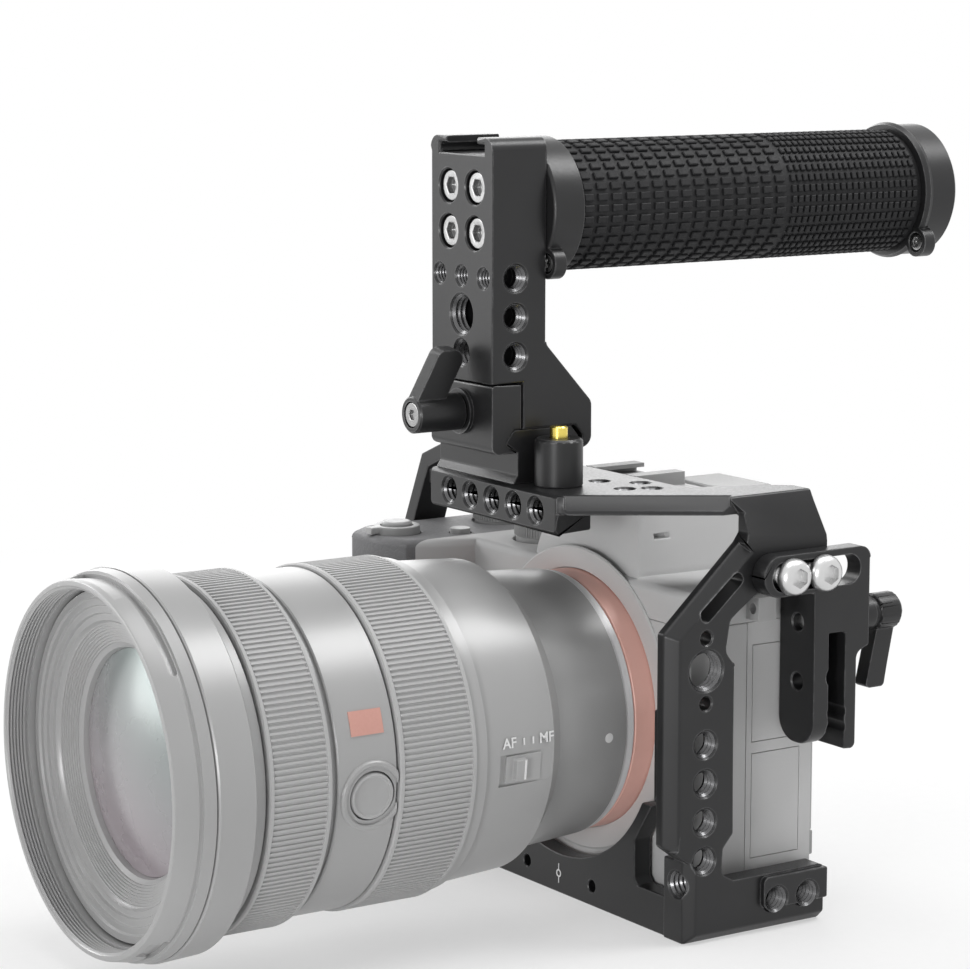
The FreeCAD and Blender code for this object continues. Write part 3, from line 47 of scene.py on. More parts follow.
mergeGaps = {"carried": 0.000004, "turned": 0.000002, "lettering": 0.000001}

nodeSlot = {}
for entry in record["subparts"]:
    nodeSlot[entry["node"]] = entry["material_slot"]
nodeBody = {}
for bodyName, members in record["behaviour"]["bodies"].items():
    for member in members:
        nodeBody[member] = bodyName

view = {"place": (0.61206, -0.44059, 0.21879), "turn": 56.498, "tilt": 9.0, "lens": 117.41}

# turn is measured from the front of the lens towards the cable side
lamps = {
    "key": {"turn": 33, "rise": 3, "far": 1.3, "size": 0.32, "power": 5},
    "fill": {"turn": -42, "rise": 4, "far": 1.3, "size": 0.6, "power": 3.2},
    "rim": {"turn": -76, "rise": 27, "far": 1.3, "size": 0.6, "power": 6},
    "left": {"turn": -117, "rise": 18, "far": 1.3, "size": 0.9, "power": 4},
    "side": {"turn": 154, "rise": 55, "far": 1.3, "size": 0.6, "power": 8},
    "top": {"turn": 20, "rise": 86, "far": 1.2, "size": 0.8, "power": 5},
}


def addCamera():
    data = bpy.data.cameras.new("rigCamera")
    data.lens = view["lens"]
    data.sensor_width = 36
    camera = bpy.data.objects.new("rigCamera", data)
    camera.location = view["place"]
    camera.rotation_euler = (math.radians(90 - view["tilt"]), 0, math.radians(view["turn"]))
    bpy.context.collection.objects.link(camera)
    bpy.context.scene.camera = camera


def addLamps():
    middle = Vector((0, -0.03, 0.09))
    for name, lamp in lamps.items():
        data = bpy.data.lights.new(name + "Lamp", "AREA")
        data.shape = "DISK"
        data.size = lamp["size"]
        data.energy = lamp["power"]
        turn = math.radians(lamp["turn"])
        rise = math.radians(lamp["rise"])
        level = math.cos(rise)
        away = Vector((math.sin(turn) * level, -math.cos(turn) * level, math.sin(rise)))
        holder = bpy.data.objects.new(name + "Lamp", data)
        holder.location = middle + away * lamp["far"]
        holder.rotation_euler = away.to_track_quat("Z", "Y").to_euler()
        bpy.context.collection.objects.link(holder)


# shader maths written as Python sums
class Wire:
    # an output socket that takes part in sums
    def __init__(self, paint, socket):
        self.paint = paint
        self.socket = socket

    def __add__(self, other):
        return self.paint.sum("ADD", self, other)

    def __radd__(self, other):
        return self.paint.sum("ADD", other, self)

    def __sub__(self, other):
        return self.paint.sum("SUBTRACT", self, other)

    def __rsub__(self, other):
        return self.paint.sum("SUBTRACT", other, self)

    def __mul__(self, other):
        return self.paint.sum("MULTIPLY", self, other)

    def __rmul__(self, other):
        return self.paint.sum("MULTIPLY", other, self)

    def __pow__(self, other):
        return self.paint.sum("POWER", self, other)

    def __gt__(self, other):
        return self.paint.sum("GREATER_THAN", self, other)

    def __lt__(self, other):
        return self.paint.sum("LESS_THAN", self, other)


class Paint:
    # one material and the nodes that feed its main shader
    def __init__(self, name):
        self.material = bpy.data.materials.new(name)
        self.material.use_nodes = True
        self.tree = self.material.node_tree
        self.shader = self.tree.nodes["Principled BSDF"]
        self.output = self.tree.nodes["Material Output"]

    def plug(self, target, value):
        if isinstance(value, Wire):
            self.tree.links.new(value.socket, target)
        else:
            target.default_value = value

    def node(self, kind, settings=None, inputs=None):
        made = self.tree.nodes.new("ShaderNode" + kind)
        for key, value in (settings or {}).items():
            setattr(made, key, value)
        for key, value in (inputs or {}).items():
            self.plug(made.inputs[key], value)
        return made

    def sum(self, operation, first, second):
        made = self.node("Math", {"operation": operation}, {0: first, 1: second})
        return Wire(self, made.outputs[0])

    def places(self):
        made = self.node("TexCoord")
        return Wire(self, made.outputs["Object"])

    def axes(self):
        made = self.node("SeparateXYZ", None, {0: self.places()})
        return [Wire(self, socket) for socket in made.outputs]

    def noise(self, scale, detail=2.0, rough=0.5, stretch=(1, 1, 1)):
        spread = self.node("Mapping", None, {"Vector": self.places(), "Scale": stretch})
        made = self.node("TexNoise", None, {"Vector": Wire(self, spread.outputs[0]),
                                            "Scale": scale, "Detail": detail, "Roughness": rough})
        return Wire(self, made.outputs["Fac"])

    def ramp(self, factor, low, high, fromLow, fromHigh):
        made = self.node("MapRange", None, {"Value": factor, "To Min": low, "To Max": high,
                                            "From Min": fromLow, "From Max": fromHigh})
        return Wire(self, made.outputs[0])

    def blend(self, factor, first, second):
        made = self.node("Mix", {"data_type": "RGBA"})
        self.plug(made.inputs["Factor"], factor)
        self.plug(made.inputs["A"], first if isinstance(first, Wire) else (*first, 1))
        self.plug(made.inputs["B"], second if isinstance(second, Wire) else (*second, 1))
        return Wire(self, made.outputs["Result"])

    def bump(self, height, strength, distance):
        made = self.node("Bump", None, {"Strength": strength, "Distance": distance,
                                        "Height": height})
        return Wire(self, made.outputs[0])

    def wearAndHighlightMask(self, radius):
        # 0 on open faces, rising where the surface turns a corner
        soft = self.node("Bevel", {"samples": 4}, {"Radius": radius})
        plain = self.node("NewGeometry")
        spread = self.node("VectorMath", {"operation": "DOT_PRODUCT"},
                           {0: Wire(self, soft.outputs[0]), 1: Wire(self, plain.outputs["Normal"])})
        return 1.0 - Wire(self, spread.outputs["Value"])

    def set(self, **values):
        names = {"colour": "Base Color", "rough": "Roughness", "metal": "Metallic",
                 "coat": "Coat Weight", "coatRough": "Coat Roughness",
                 "specular": "Specular IOR Level", "normal": "Normal"}
        for key, value in values.items():
            self.plug(self.shader.inputs[names[key]], value)
        return self.material


def anodised():
    # the edge colour is edge wear and also a painted highlight along the edges, where rounded edges
    # would catch the lamps
    look = {"dark": (0.009, 0.009, 0.0095), "light": (0.016, 0.016, 0.017),
            "edge": (0.3, 0.3, 0.305)}
    paint = Paint("anodised")
    cloud = paint.noise(60, 3, 0.55)
    grain = paint.noise(2600, 2, 0.6)
    edge = paint.ramp(paint.wearAndHighlightMask(0.0006), 0.0, 0.8, 0.02, 0.3)
    body = paint.blend(cloud, look["dark"], look["light"])
    # edges lightened in patches: rubbed metal, together with a painted edge highlight
    wearAndPaintedHighlight = edge * paint.ramp(paint.noise(420, 3, 0.6), 0.3, 1.0, 0.35, 0.65)
    return paint.set(colour=paint.blend(wearAndPaintedHighlight, body, look["edge"]), metal=0.15,
                     rough=paint.ramp(grain, 0.3, 0.42, 0.3, 0.7) + (cloud - 0.5) * 0.08,
                     normal=paint.bump(grain, 0.12, 0.00005))


def plasticGrey(name, tone, roughLow, roughHigh, grainScale=1500, metal=0.0, specular=0.5):
    shades = {"dark": 0.95, "light": 1.05, "worn": 1.35}
    paint = Paint(name)
    cloud = paint.noise(45, 3, 0.5)
    grain = paint.noise(grainScale, 2, 0.6)
    dark, light, worn = (tuple(min(1, value * share) for value in tone)
                         for share in shades.values())
    edge = paint.ramp(paint.wearAndHighlightMask(0.0005), 0.0, 0.5, 0.02, 0.35)
    return paint.set(colour=paint.blend(edge, paint.blend(cloud, dark, light), worn), metal=metal,
                     specular=specular,
                     rough=paint.ramp(grain, roughLow, roughHigh, 0.3, 0.7) + (cloud - 0.5) * 0.06,
                     normal=paint.bump(grain, 0.05, 0.00001))


def cameraGrey():
    # moulded shell with a leather-grained hand grip at its far end
    look = {"tone": (0.6, 0.6, 0.6), "grip": (0.19, 0.19, 0.195), "gripEdge": -0.0515,
            "cloud": (0.35, 0.35, 0.35), "worn": (0.68, 0.68, 0.68), "cells": 620}
    paint = Paint("cameraGrey")
    grip = paint.axes()[0] < look["gripEdge"]
    cloud = paint.noise(45, 3, 0.5)
    grain = paint.noise(1500, 2, 0.6)
    cells = paint.node("TexVoronoi", {"feature": "DISTANCE_TO_EDGE"},
                       {"Vector": paint.places(), "Scale": look["cells"]})
    leather = paint.ramp(Wire(paint, cells.outputs["Distance"]), 0.0, 1.0, 0.0, 0.18)
    edge = paint.ramp(paint.wearAndHighlightMask(0.0006), 0.0, 0.4, 0.02, 0.35)
    body = paint.blend(grip, look["tone"], look["grip"])
    mixed = paint.blend(cloud * 0.1, body, look["cloud"])
    height = grain * 0.12 * (1.0 - grip) + leather * grip
    return paint.set(colour=paint.blend(edge, mixed, look["worn"]), specular=0.2,
                     rough=paint.ramp(grain, 0.5, 0.64, 0.3, 0.7) + (cloud - 0.5) * 0.08,
                     normal=paint.bump(height, 0.35, 0.00012))


def rubber(name, tone):
    paint = Paint(name)
    grain = paint.noise(1800, 3, 0.6)
    dust = paint.ramp(paint.noise(70, 4, 0.6), 0.0, 0.3, 0.45, 0.75)
    pale = tuple(value * 1.7 + 0.006 for value in tone)
    return paint.set(colour=paint.blend(dust, tone, pale), specular=0.35,
                     rough=paint.ramp(grain, 0.55, 0.72, 0.3, 0.7),
                     normal=paint.bump(grain, 0.2, 0.00006))


def turnedSteel(name, tone, rough):
    # fine marks left by the tool
    paint = Paint(name)
    marks = paint.noise(240, 3, 0.7, (1, 1, 9))
    cloud = paint.noise(120, 2, 0.5)
    dark = tuple(value * 0.9 for value in tone)
    return paint.set(colour=paint.blend(cloud, dark, tone), metal=1.0,
                     rough=paint.ramp(marks, rough - 0.02, rough + 0.03, 0.3, 0.7),
                     normal=paint.bump(marks, 0.01, 0.00001))


def frontGlass():
    # coated glass: the warm and green tints the coating shows in reflection are painted across the
    # dome as colour
    look = {"warm": (0.36, 0.315, 0.34), "cool": (0.29, 0.335, 0.325), "lean": 0.6}
    paint = Paint("frontGlass")
    x, _, z = paint.axes()
    paintedReflectionTint = paint.ramp(z - lensZ * mm + x * look["lean"], 0.0, 1.0, -0.02, 0.024)
    smear = paint.noise(90, 3, 0.5)
    return paint.set(colour=paint.blend(paintedReflectionTint, look["warm"], look["cool"]), metal=0.3, coat=0.3,
                     coatRough=0.2, rough=paint.ramp(smear, 0.24, 0.3, 0.3, 0.7))


def darkGloss(name, tone):
    paint = Paint(name)
    smear = paint.noise(110, 4, 0.6)
    return paint.set(colour=paint.blend(smear, tone, tuple(value * 1.4 for value in tone)),
                     rough=paint.ramp(smear, 0.08, 0.2, 0.3, 0.7), coat=0.6)


def flatPaint(name, dark, light):
    paint = Paint(name)
    grain = paint.noise(1400, 2, 0.5)
    return paint.set(colour=paint.blend(grain, dark, light),
                     rough=paint.ramp(grain, 0.45, 0.6, 0.3, 0.7))


looks = {
    "cage_metal": anodised(),
    "grip_rubber": rubber("gripRubber", (0.008, 0.008, 0.009)),
    "screw_steel": turnedSteel("screwSteel", (0.38, 0.38, 0.38), 0.22),
    "pin_brass": turnedSteel("pinBrass", (0.85, 0.68, 0.16), 0.25),
    "tube_metal": turnedSteel("tubeMetal", (0.6, 0.6, 0.62), 0.35),
    "camera_grey": cameraGrey(),
    "control_grey": plasticGrey("controlGrey", (0.4, 0.4, 0.4), 0.35, 0.5),
    "mount_orange": plasticGrey("mountOrange", (1.0, 0.56, 0.48), 0.35, 0.48, 900),
    "lens_grey": plasticGrey("lensGrey", (0.38, 0.38, 0.38), 0.3, 0.36, 2600, 0.1),
    "ring_rubber": plasticGrey("ringRubber", (0.44, 0.44, 0.44), 0.45, 0.6),
    "lens_silver": plasticGrey("lensSilver", (0.88, 0.88, 0.89), 0.3, 0.4, 1500, 0.1),
    "glass": frontGlass(),
    "screen_black": darkGloss("screenBlack", (0.02, 0.02, 0.022)),
    "sensor_glass": darkGloss("sensorGlass", (0.05, 0.09, 0.12)),
    "board_green": darkGloss("boardGreen", (0.02, 0.1, 0.04)),
}
fittingGrey = plasticGrey("fittingGrey", (0.42, 0.42, 0.42), 0.45, 0.6, 1500, 0.0, 0.2)
bracketSteel = turnedSteel("bracketSteel", (0.68, 0.68, 0.68), 0.3)
threadMetal = plasticGrey("threadMetal", (0.13, 0.13, 0.133), 0.22, 0.32, 1500, 0.8)
markWhite = flatPaint("markWhite", (0.75, 0.75, 0.75), (0.88, 0.88, 0.88))
badgeSalmon = flatPaint("badgeSalmon", (0.58, 0.3, 0.25), (0.63, 0.34, 0.29))


def floorLook():
    paint = Paint("floorPaint")
    speck = paint.noise(300, 2, 0.5)
    paint.set(colour=paint.blend(speck, (0.84, 0.84, 0.84), (0.88, 0.88, 0.88)), rough=0.8)
    rays = paint.node("LightPath")
    shown = Wire(paint, rays.outputs["Is Camera Ray"]) + Wire(paint, rays.outputs["Is Glossy Ray"])
    shown = shown + Wire(paint, rays.outputs["Is Transmission Ray"])
    glow = paint.node("Emission", None, {"Color": (1, 1, 1, 1), "Strength": 1.0})
    x, y, _ = paint.axes()
    far = paint.ramp((x * x + y * y) ** 0.5, 0.5, 1.0, 0.12, 0.5)
    both = paint.node("MixShader", None, {"Fac": shown * far, 2: Wire(paint, glow.outputs[0]),
                                          1: Wire(paint, paint.shader.outputs[0])})
    paint.tree.links.new(both.outputs[0], paint.output.inputs[0])
    return paint.material


def addFloor():
    bpy.ops.object.select_all(action="DESELECT")
    bpy.ops.mesh.primitive_circle_add(vertices=96, radius=9, fill_type="NGON", location=(0, 0, 0))
    floor = bpy.context.active_object
    floor.name = "floor"
    floor.data.materials.append(floorLook())


def addWorld():
    # white to the camera, to metal and to glass; a low even light for everything else
    levels = {"even": 0.25, "white": 1.0}
    world = bpy.data.worlds.new("studio")
    bpy.context.scene.world = world
    world.use_nodes = True
    tree = world.node_tree
    back = tree.nodes["Background"]
    back.inputs[0].default_value = (1, 1, 1, 1)
    rays = tree.nodes.new("ShaderNodeLightPath")
    total = rays.outputs["Is Camera Ray"]
    for other in ("Is Glossy Ray", "Is Transmission Ray"):
        both = tree.nodes.new("ShaderNodeMath")
        tree.links.new(total, both.inputs[0])
        tree.links.new(rays.outputs[other], both.inputs[1])
        total = both.outputs[0]
    level = tree.nodes.new("ShaderNodeMapRange")
    tree.links.new(total, level.inputs["Value"])
    level.inputs["To Min"].default_value = levels["even"]
    level.inputs["To Max"].default_value = levels["white"]
    tree.links.new(level.outputs[0], back.inputs[1])


addCamera()
addLamps()
addFloor()
addWorld()
bpy.context.scene.view_settings.view_transform = "Standard"
print("stage set")

for name, piece in nodes.items():
    piece.data.materials.clear()
    piece.data.materials.append(looks[nodeSlot[name]])
nodes["lever_washer"].data.materials[0] = looks["cage_metal"]
for name in ("hot_shoe", "strap_lugs", "display_hinge"):
    nodes[name].data.materials[0] = fittingGrey
print("carried nodes painted")


def deselect():
    if bpy.context.mode != "OBJECT":
        bpy.ops.object.mode_set(mode="OBJECT")
    bpy.ops.object.select_all(action="DESELECT")


def activate(piece):
    deselect()
    piece.select_set(True)
    bpy.context.view_layer.objects.active = piece


def applyAll(piece):
    activate(piece)
    for modifier in list(piece.modifiers):
        bpy.ops.object.modifier_apply(modifier=modifier.name)


def remove(piece):
    bpy.data.objects.remove(piece)


def selectAll():
    if bpy.context.mode == "OBJECT":
        bpy.ops.object.mode_set(mode="EDIT")
    bpy.ops.mesh.select_all(action="SELECT")


def closeUp(gap, holeSides=0):
    # points that lie together become one, and every face turns outwards
    selectAll()
    bpy.ops.mesh.remove_doubles(threshold=gap)
    if holeSides:
        bpy.ops.mesh.fill_holes(sides=holeSides)
    bpy.ops.mesh.normals_make_consistent(inside=False)
    bpy.ops.object.mode_set(mode="OBJECT")


def freeCopy(source, name):
    piece = source.copy()
    piece.data = source.data.copy()
    piece.name = name
    bpy.context.collection.objects.link(piece)
    return piece


def addBox(name, centre, size):
    # centre and size are in millimetres
    deselect()
    bpy.ops.mesh.primitive_cube_add(size=1, location=[value * mm for value in centre])
    box = bpy.context.active_object
    box.name = name
    box.scale = [value * mm for value in size]
    bpy.ops.object.transform_apply(location=True, rotation=True, scale=True)
    return box


def finish(piece, look, body, angle=35, replaces=()):
    piece.data.materials.clear()
    piece.data.materials.append(look)
    activate(piece)
    bpy.ops.object.shade_smooth_by_angle(angle=math.radians(angle))
    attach(piece, body)
    for name in replaces:
        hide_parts(name)


def joinAll(name, pieces):
    deselect()
    for piece in pieces:
        piece.select_set(True)
    bpy.context.view_layer.objects.active = pieces[0]
    if len(pieces) > 1:
        bpy.ops.object.join()
    whole = bpy.context.active_object
    whole.name = name
    return whole


# angles in degrees; room and length are shares of the width of the rounding
edgeRules = {"flat": 1.2, "hard": 28, "room": 2.4, "length": 0.8}


def markRoomyEdges(piece, width):
    # only hard edges with room on both sides are rounded
    mesh = piece.data
    beside = {}
    for polygon in mesh.polygons:
        for key in polygon.edge_keys:
            beside.setdefault(key, []).append(polygon)
    weights = mesh.attributes.new("bevel_weight_edge", "FLOAT", "EDGE")
    for edge in mesh.edges:
        pair = beside.get(tuple(sorted(edge.vertices)), [])
        if len(pair) != 2:
            continue
        start, end = (mesh.vertices[index].co for index in edge.vertices)
        length = (end - start).length
        room = min(polygon.area for polygon in pair) / max(length, 1e-7)
        bend = pair[0].normal.angle(pair[1].normal, 0)
        hard = bend > math.radians(edgeRules["hard"])
        roomy = room > width * edgeRules["room"] and length > width * edgeRules["length"]
        weights.data[edge.index].value = 1.0 if hard and roomy else 0.0


def mergeFaces(piece):
    activate(piece)
    if piece.data.has_custom_normals:
        bpy.ops.mesh.customdata_custom_splitnormals_clear()
    selectAll()
    bpy.ops.mesh.remove_doubles(threshold=mergeGaps["carried"])
    bpy.ops.object.mode_set(mode="OBJECT")


def roundEdges(piece, width, segments=2):
    mergeFaces(piece)
    selectAll()
    bpy.ops.mesh.dissolve_limited(angle_limit=math.radians(edgeRules["flat"]))
    bpy.ops.object.mode_set(mode="OBJECT")
    markRoomyEdges(piece, width)
    bevel = piece.modifiers.new("round", "BEVEL")
    bevel.width = width
    bevel.segments = segments
    bevel.limit_method = "WEIGHT"
    bevel.use_clamp_overlap = False
    applyAll(piece)
    closeUp(mergeGaps["carried"])


def flatten(piece):
    # large faces keep an even shade right up to their rounded edges
    even = piece.modifiers.new("even", "WEIGHTED_NORMAL")
    even.weight = 80
    even.keep_sharp = True
    applyAll(piece)


def tracePath(name, points):
    # a closed chain of edges drawn point by point, in millimetres
    deselect()
    bpy.ops.mesh.primitive_plane_add(size=mm, location=Vector(points[0]) * mm)
    piece = bpy.context.active_object
    piece.name = name
    bpy.ops.object.transform_apply(location=True)
    selectAll()
    bpy.ops.mesh.merge(type="CENTER")
    for start, end in zip(points, points[1:]):
        step = (Vector(end) - Vector(start)) * mm
        bpy.ops.mesh.extrude_vertices_move(TRANSFORM_OT_translate={"value": step})
    bpy.ops.object.mode_set(mode="OBJECT")
    # the two loose ends are the points that only one edge uses
    used = [index for edge in piece.data.edges for index in edge.vertices]
    for vertex in piece.data.vertices:
        vertex.select = used.count(vertex.index) == 1
    bpy.ops.object.mode_set(mode="EDIT")
    bpy.ops.mesh.edge_face_add()
    return piece


def cutWith(piece, cutters):
    for cutter in cutters:
        cut = piece.modifiers.new("cut", "BOOLEAN")
        cut.operation = "DIFFERENCE"
        cut.solver = "EXACT"
        cut.object = cutter
    applyAll(piece)
    for cutter in cutters:
        remove(cutter)


# the side plate's outer front edge: each run goes between two (y, z) places
barChamfer = {"outer": 52.9, "leg": 2.8, "spare": 1.0,
              "runs": [((-20.3, 23.0), (-20.3, 74.3)), ((-21.3, 72.4), (0.9, 92.4))]}


def chamferCutter(start, end):
    # a three-sided bar along one stretch of that edge
    leg, spare = barChamfer["leg"], barChamfer["spare"]
    run = Vector((0, end[0] - start[0], end[1] - start[1]))
    out = Vector((0, -run.z, run.y)).normalized()
    corner = Vector((barChamfer["outer"], *start))
    points = [corner + Vector((side, 0, 0)) + out * lift
              for side, lift in ((-leg - spare, spare), (spare, -leg - spare), (spare, spare))]
    piece = tracePath("chamferCutter", points)
    selectAll()
    bpy.ops.mesh.edge_face_add()
    bpy.ops.mesh.extrude_region_move(TRANSFORM_OT_translate={"value": run * mm})
    selectAll()
    bpy.ops.mesh.normals_make_consistent(inside=False)
    bpy.ops.object.mode_set(mode="OBJECT")
    return piece


def softCopy(name, width):
    # a merged copy of a carried node with its hard edges rounded
    source = nodes[name]
    words = name.split("_")
    piece = freeCopy(source, words[0] + "".join(word.capitalize() for word in words[1:]))
    if name == "cage_frame":
        mergeFaces(piece)
        cutWith(piece, [chamferCutter(*run) for run in barChamfer["runs"]])
    roundEdges(piece, width)
    finish(piece, source.data.materials[0], nodeBody[name], 34, [name])
    flatten(piece)


softWidths = {
    "cage_frame": 0.5, "handle_post": 0.7, "clamp_jaw": 0.6, "clamp_lever": 0.5, "nato_rail": 0.3,
    "cable_bracket": 0.5, "cable_lever": 0.4, "front_collar": 0.25, "rail_stop_housing": 0.4,
    "camera_top_cover": 0.4, "camera_front_shell": 0.5, "eyecup": 0.8, "post_screws": 0.3,
    "rail_screws": 0.25, "collar_screws": 0.2, "lever_cap_screw": 0.2, "base_screw": 0.25,
    "display_hinge": 0.4, "power_switch": 0.4, "focus_mode_switch": 0.25, "shutter_button": 0.4,
    "custom_button": 0.3, "menu_button": 0.3, "cage_pads": 0.3, "rail_stop_pin": 0.2,
}


def spinRound(piece, axis, centre, steps, separate=False):
    selectAll()
    bpy.ops.mesh.spin(steps=steps, angle=math.tau, dupli=separate, use_auto_merge=False,
                      center=Vector(centre) * mm, axis=axis)
    closeUp(mergeGaps["turned"])
    return piece


def placedCopy(source, spot, outward):
    # outward is where the source's own Z ends up
    copy = freeCopy(source, source.name)
    turn = Vector(outward).to_track_quat("Z", "Y").to_matrix().to_4x4()
    copy.data.transform(Matrix.Translation(Vector(spot) * mm) @ turn)
    return copy


# crest and close are shares of the pitch
threadForm = {"clear": 0.03, "root": 0.05, "crest": (0.42, 0.55), "close": 0.97, "tail": 0.1,
              "steps": 28}


def threadLiner(radius, depth, pitch, height, lead):
    # one turned liner: its inner side is cut into thread crests
    form = threadForm
    outer = radius - form["clear"]
    root, crest = outer - form["root"], outer - height
    start, end = form["crest"]
    points = [(outer, 0, -lead)]
    place = lead
    while place + pitch < depth - form["tail"]:
        for reach, share in ((root, 0), (crest, start), (crest, end), (root, form["close"])):
            points.append((reach, 0, -place - pitch * share))
        place += pitch
    points.append((outer, 0, -place))
    return spinRound(tracePath("liner", points), (0, 0, 1), (0, 0, 0), form["steps"])


threadKinds = {
    "quarter": {"radius": 3.18, "depth": 7.6, "pitch": 1.27, "height": 0.62, "lead": 0.5},
    "quarterShort": {"radius": 3.18, "depth": 5.2, "pitch": 1.27, "height": 0.62, "lead": 0.5},
    "large": {"radius": 4.76, "depth": 5.2, "pitch": 1.3, "height": 0.7, "lead": 0.5},
    "small": {"radius": 2.4, "depth": 4.1, "pitch": 0.8, "height": 0.42, "lead": 0.45},
}
front, right, up, down = (0, -1, 0), (1, 0, 0), (0, 0, 1), (0, 0, -1)
pitch = 9.15
cageThreads = [("quarter", (-1.1 + pitch * step, -33, 98.5), front) for step in range(-2, 3)]
cageThreads += [("quarterShort", (52.9, -10.1, 47.1 - pitch * step), right) for step in range(4)]
cageThreads += [("large", (52.9, -10.1, 64.3), right), ("quarter", (48.5, -14.7, 13.9), front)]
cageThreads += [("quarter", (54.3, 10.3 + pitch * step, 7.6), right) for step in range(2)]
cageThreads += [("small", (x, y, 102.9), up)
                for x, y in ((12.4, -11.2), (27.8, -7.2), (19.8, -4.7), (25.0, -13.0))]
cageThreads += [("quarter", (x, 0, 0), down) for x in (-19.05, 0, 19.05)]
postThreads = [("quarterShort", (6.6, -31.3, 151.3 - pitch * step), right) for step in range(3)]
postThreads += [("small", (-6.5 + 9.24 * step, -37.8, 151.3), front) for step in (-1, 0, 1)]
postThreads += [("large", (-6.5, -37.8, 142.3), front), ("quarter", (-6.5, -37.8, 133.3), front)]


def addThreads():
    liners = {kind: threadLiner(**shape) for kind, shape in threadKinds.items()}
    sockets = (("cageThreads", "rig", cageThreads), ("postThreads", "handle", postThreads))
    for name, body, places in sockets:
        copies = [placedCopy(liners[kind], spot, outward) for kind, spot, outward in places]
        finish(joinAll(name, copies), threadMetal, body)
    for liner in liners.values():
        remove(liner)


sleeve = {
    "x": -6.5, "z": 166.75, "front": -14.0, "rear": 90.4, "spare": 1.0,
    "core": 14.85, "top": 15.5, "inner": 12.1, "steps": 72, "sink": 0.25, "padBevel": 0.2,
    "rows": 36, "coarse": 4.1, "coarseEnd": 47.0, "fine": 1.93, "share": 0.66, "wide": 1.65,
}


def rubberPad(length, width, place):
    # one raised pad with softened top edges, lying on top of the sleeve
    rise = sleeve["top"] - sleeve["core"] + sleeve["sink"]
    centre = (sleeve["x"], place, sleeve["z"] + sleeve["top"] - rise / 2)
    pad = addBox("pad", centre, (width, length, rise))
    top = max(vertex.co.z for vertex in pad.data.vertices)
    bpy.ops.object.mode_set(mode="EDIT")
    bpy.ops.mesh.select_all(action="DESELECT")
    bpy.ops.object.mode_set(mode="OBJECT")
    for face in pad.data.polygons:
        face.select = all(pad.data.vertices[i].co.z > top - 1e-6 for i in face.vertices)
    bpy.ops.object.mode_set(mode="EDIT")
    bpy.ops.mesh.select_mode(type="FACE")
    bpy.ops.mesh.bevel(offset=sleeve["padBevel"] * mm, segments=1)
    bpy.ops.mesh.select_mode(type="VERT")
    return pad


def addSleeve():
    pads = []
    place = sleeve["front"] + sleeve["coarse"] / 2
    while place < sleeve["rear"] - sleeve["spare"]:
        column = sleeve["coarse"] if place < sleeve["coarseEnd"] else sleeve["fine"]
        pad = rubberPad(column * sleeve["share"], sleeve["wide"], place)
        middle = (sleeve["x"], place, sleeve["z"])
        spinRound(pad, (0, 1, 0), middle, sleeve["rows"], True)
        pads.append(pad)
        place += column
    x, z = sleeve["x"], sleeve["z"]
    wall = [(x, sleeve[end], z + sleeve[side])
            for end, side in (("front", "inner"), ("front", "core"), ("rear", "core"),
                              ("rear", "inner"))]
    core = tracePath("gripCore", wall)
    spinRound(core, (0, 1, 0), (x, 0, z), sleeve["steps"])
    whole = joinAll("gripSleeve", [core] + pads)
    finish(whole, looks["grip_rubber"], "handle", 40, ["grip_sleeve"])


ribbedRings = {
    "zoomRing": {"node": "zoom_ring", "near": -63.9, "far": -84.0, "top": 40.1, "core": 39.6},
    "focusRing": {"node": "focus_ring", "near": -101.7, "far": -117.3, "top": 40.9, "core": 40.4},
}
# what the two rings share; lipRound goes inwards and down
ringShape = {
    "bore": 37.75, "lip": 1.1, "lipRound": (0.3, 0.35), "fall": 0.15, "steps": 128, "ribs": 190,
    "ribWide": 0.8, "ribGap": 0.1, "ribSink": 0.2, "ribUnder": 0.04, "ribTaper": 0.6,
}


def addRibbedRing(name, ring):
    shape = ringShape
    near, far, top, core = ring["near"], ring["far"], ring["top"], ring["core"]
    lip, fall, bore = shape["lip"], shape["fall"], shape["bore"]
    inward, drop = shape["lipRound"]
    rows = [(near, bore), (near, top - drop), (near - inward, top), (near - lip, top),
            (near - lip - fall, core), (far + lip + fall, core), (far + lip, top),
            (far + inward, top), (far, top - drop), (far, bore)]
    body = lensTurning(name, rows, shape["steps"])
    rise = top - core + shape["ribSink"]
    length = near - far - 2 * (lip + shape["ribGap"])
    centre = (0, (near + far) / 2, lensZ + top - shape["ribUnder"] - rise / 2)
    rib = addBox("rib", centre, (shape["ribWide"], length, rise))
    for vertex in rib.data.vertices:
        if vertex.co.z > (lensZ + core) * mm:
            vertex.co.x *= shape["ribTaper"]
    spinRound(rib, (0, 1, 0), (0, 0, lensZ), shape["ribs"], True)
    whole = joinAll(name, [body, rib])
    node = ring["node"]
    finish(whole, looks["ring_rubber"], nodeBody[node], 35, [node])


def lensPath(name, rows):
    # rows are (place along the lens, radius) pairs round its axis
    return tracePath(name, [(0, along, lensZ + radius) for along, radius in rows])


def lensTurning(name, rows, steps=96):
    return spinRound(lensPath(name, rows), (0, 1, 0), (0, 0, lensZ), steps)


def lensArc(name, rows, start, end, steps):
    # the same outline swept from one angle to another; 0 is the cable side and 90 is up
    piece = lensPath(name, rows)
    selectAll()
    sweep = math.radians(end - start)
    bpy.ops.mesh.spin(steps=steps, angle=sweep, dupli=False, use_auto_merge=False,
                      center=(0, 0, lensZ * mm), axis=(0, 1, 0))
    closeUp(mergeGaps["turned"], 12)
    middle = Vector((0, 0, lensZ * mm))
    turn = Matrix.Rotation(math.radians(90 - start), 4, "Y")
    piece.data.transform(Matrix.Translation(middle) @ turn @ Matrix.Translation(-middle))
    return piece


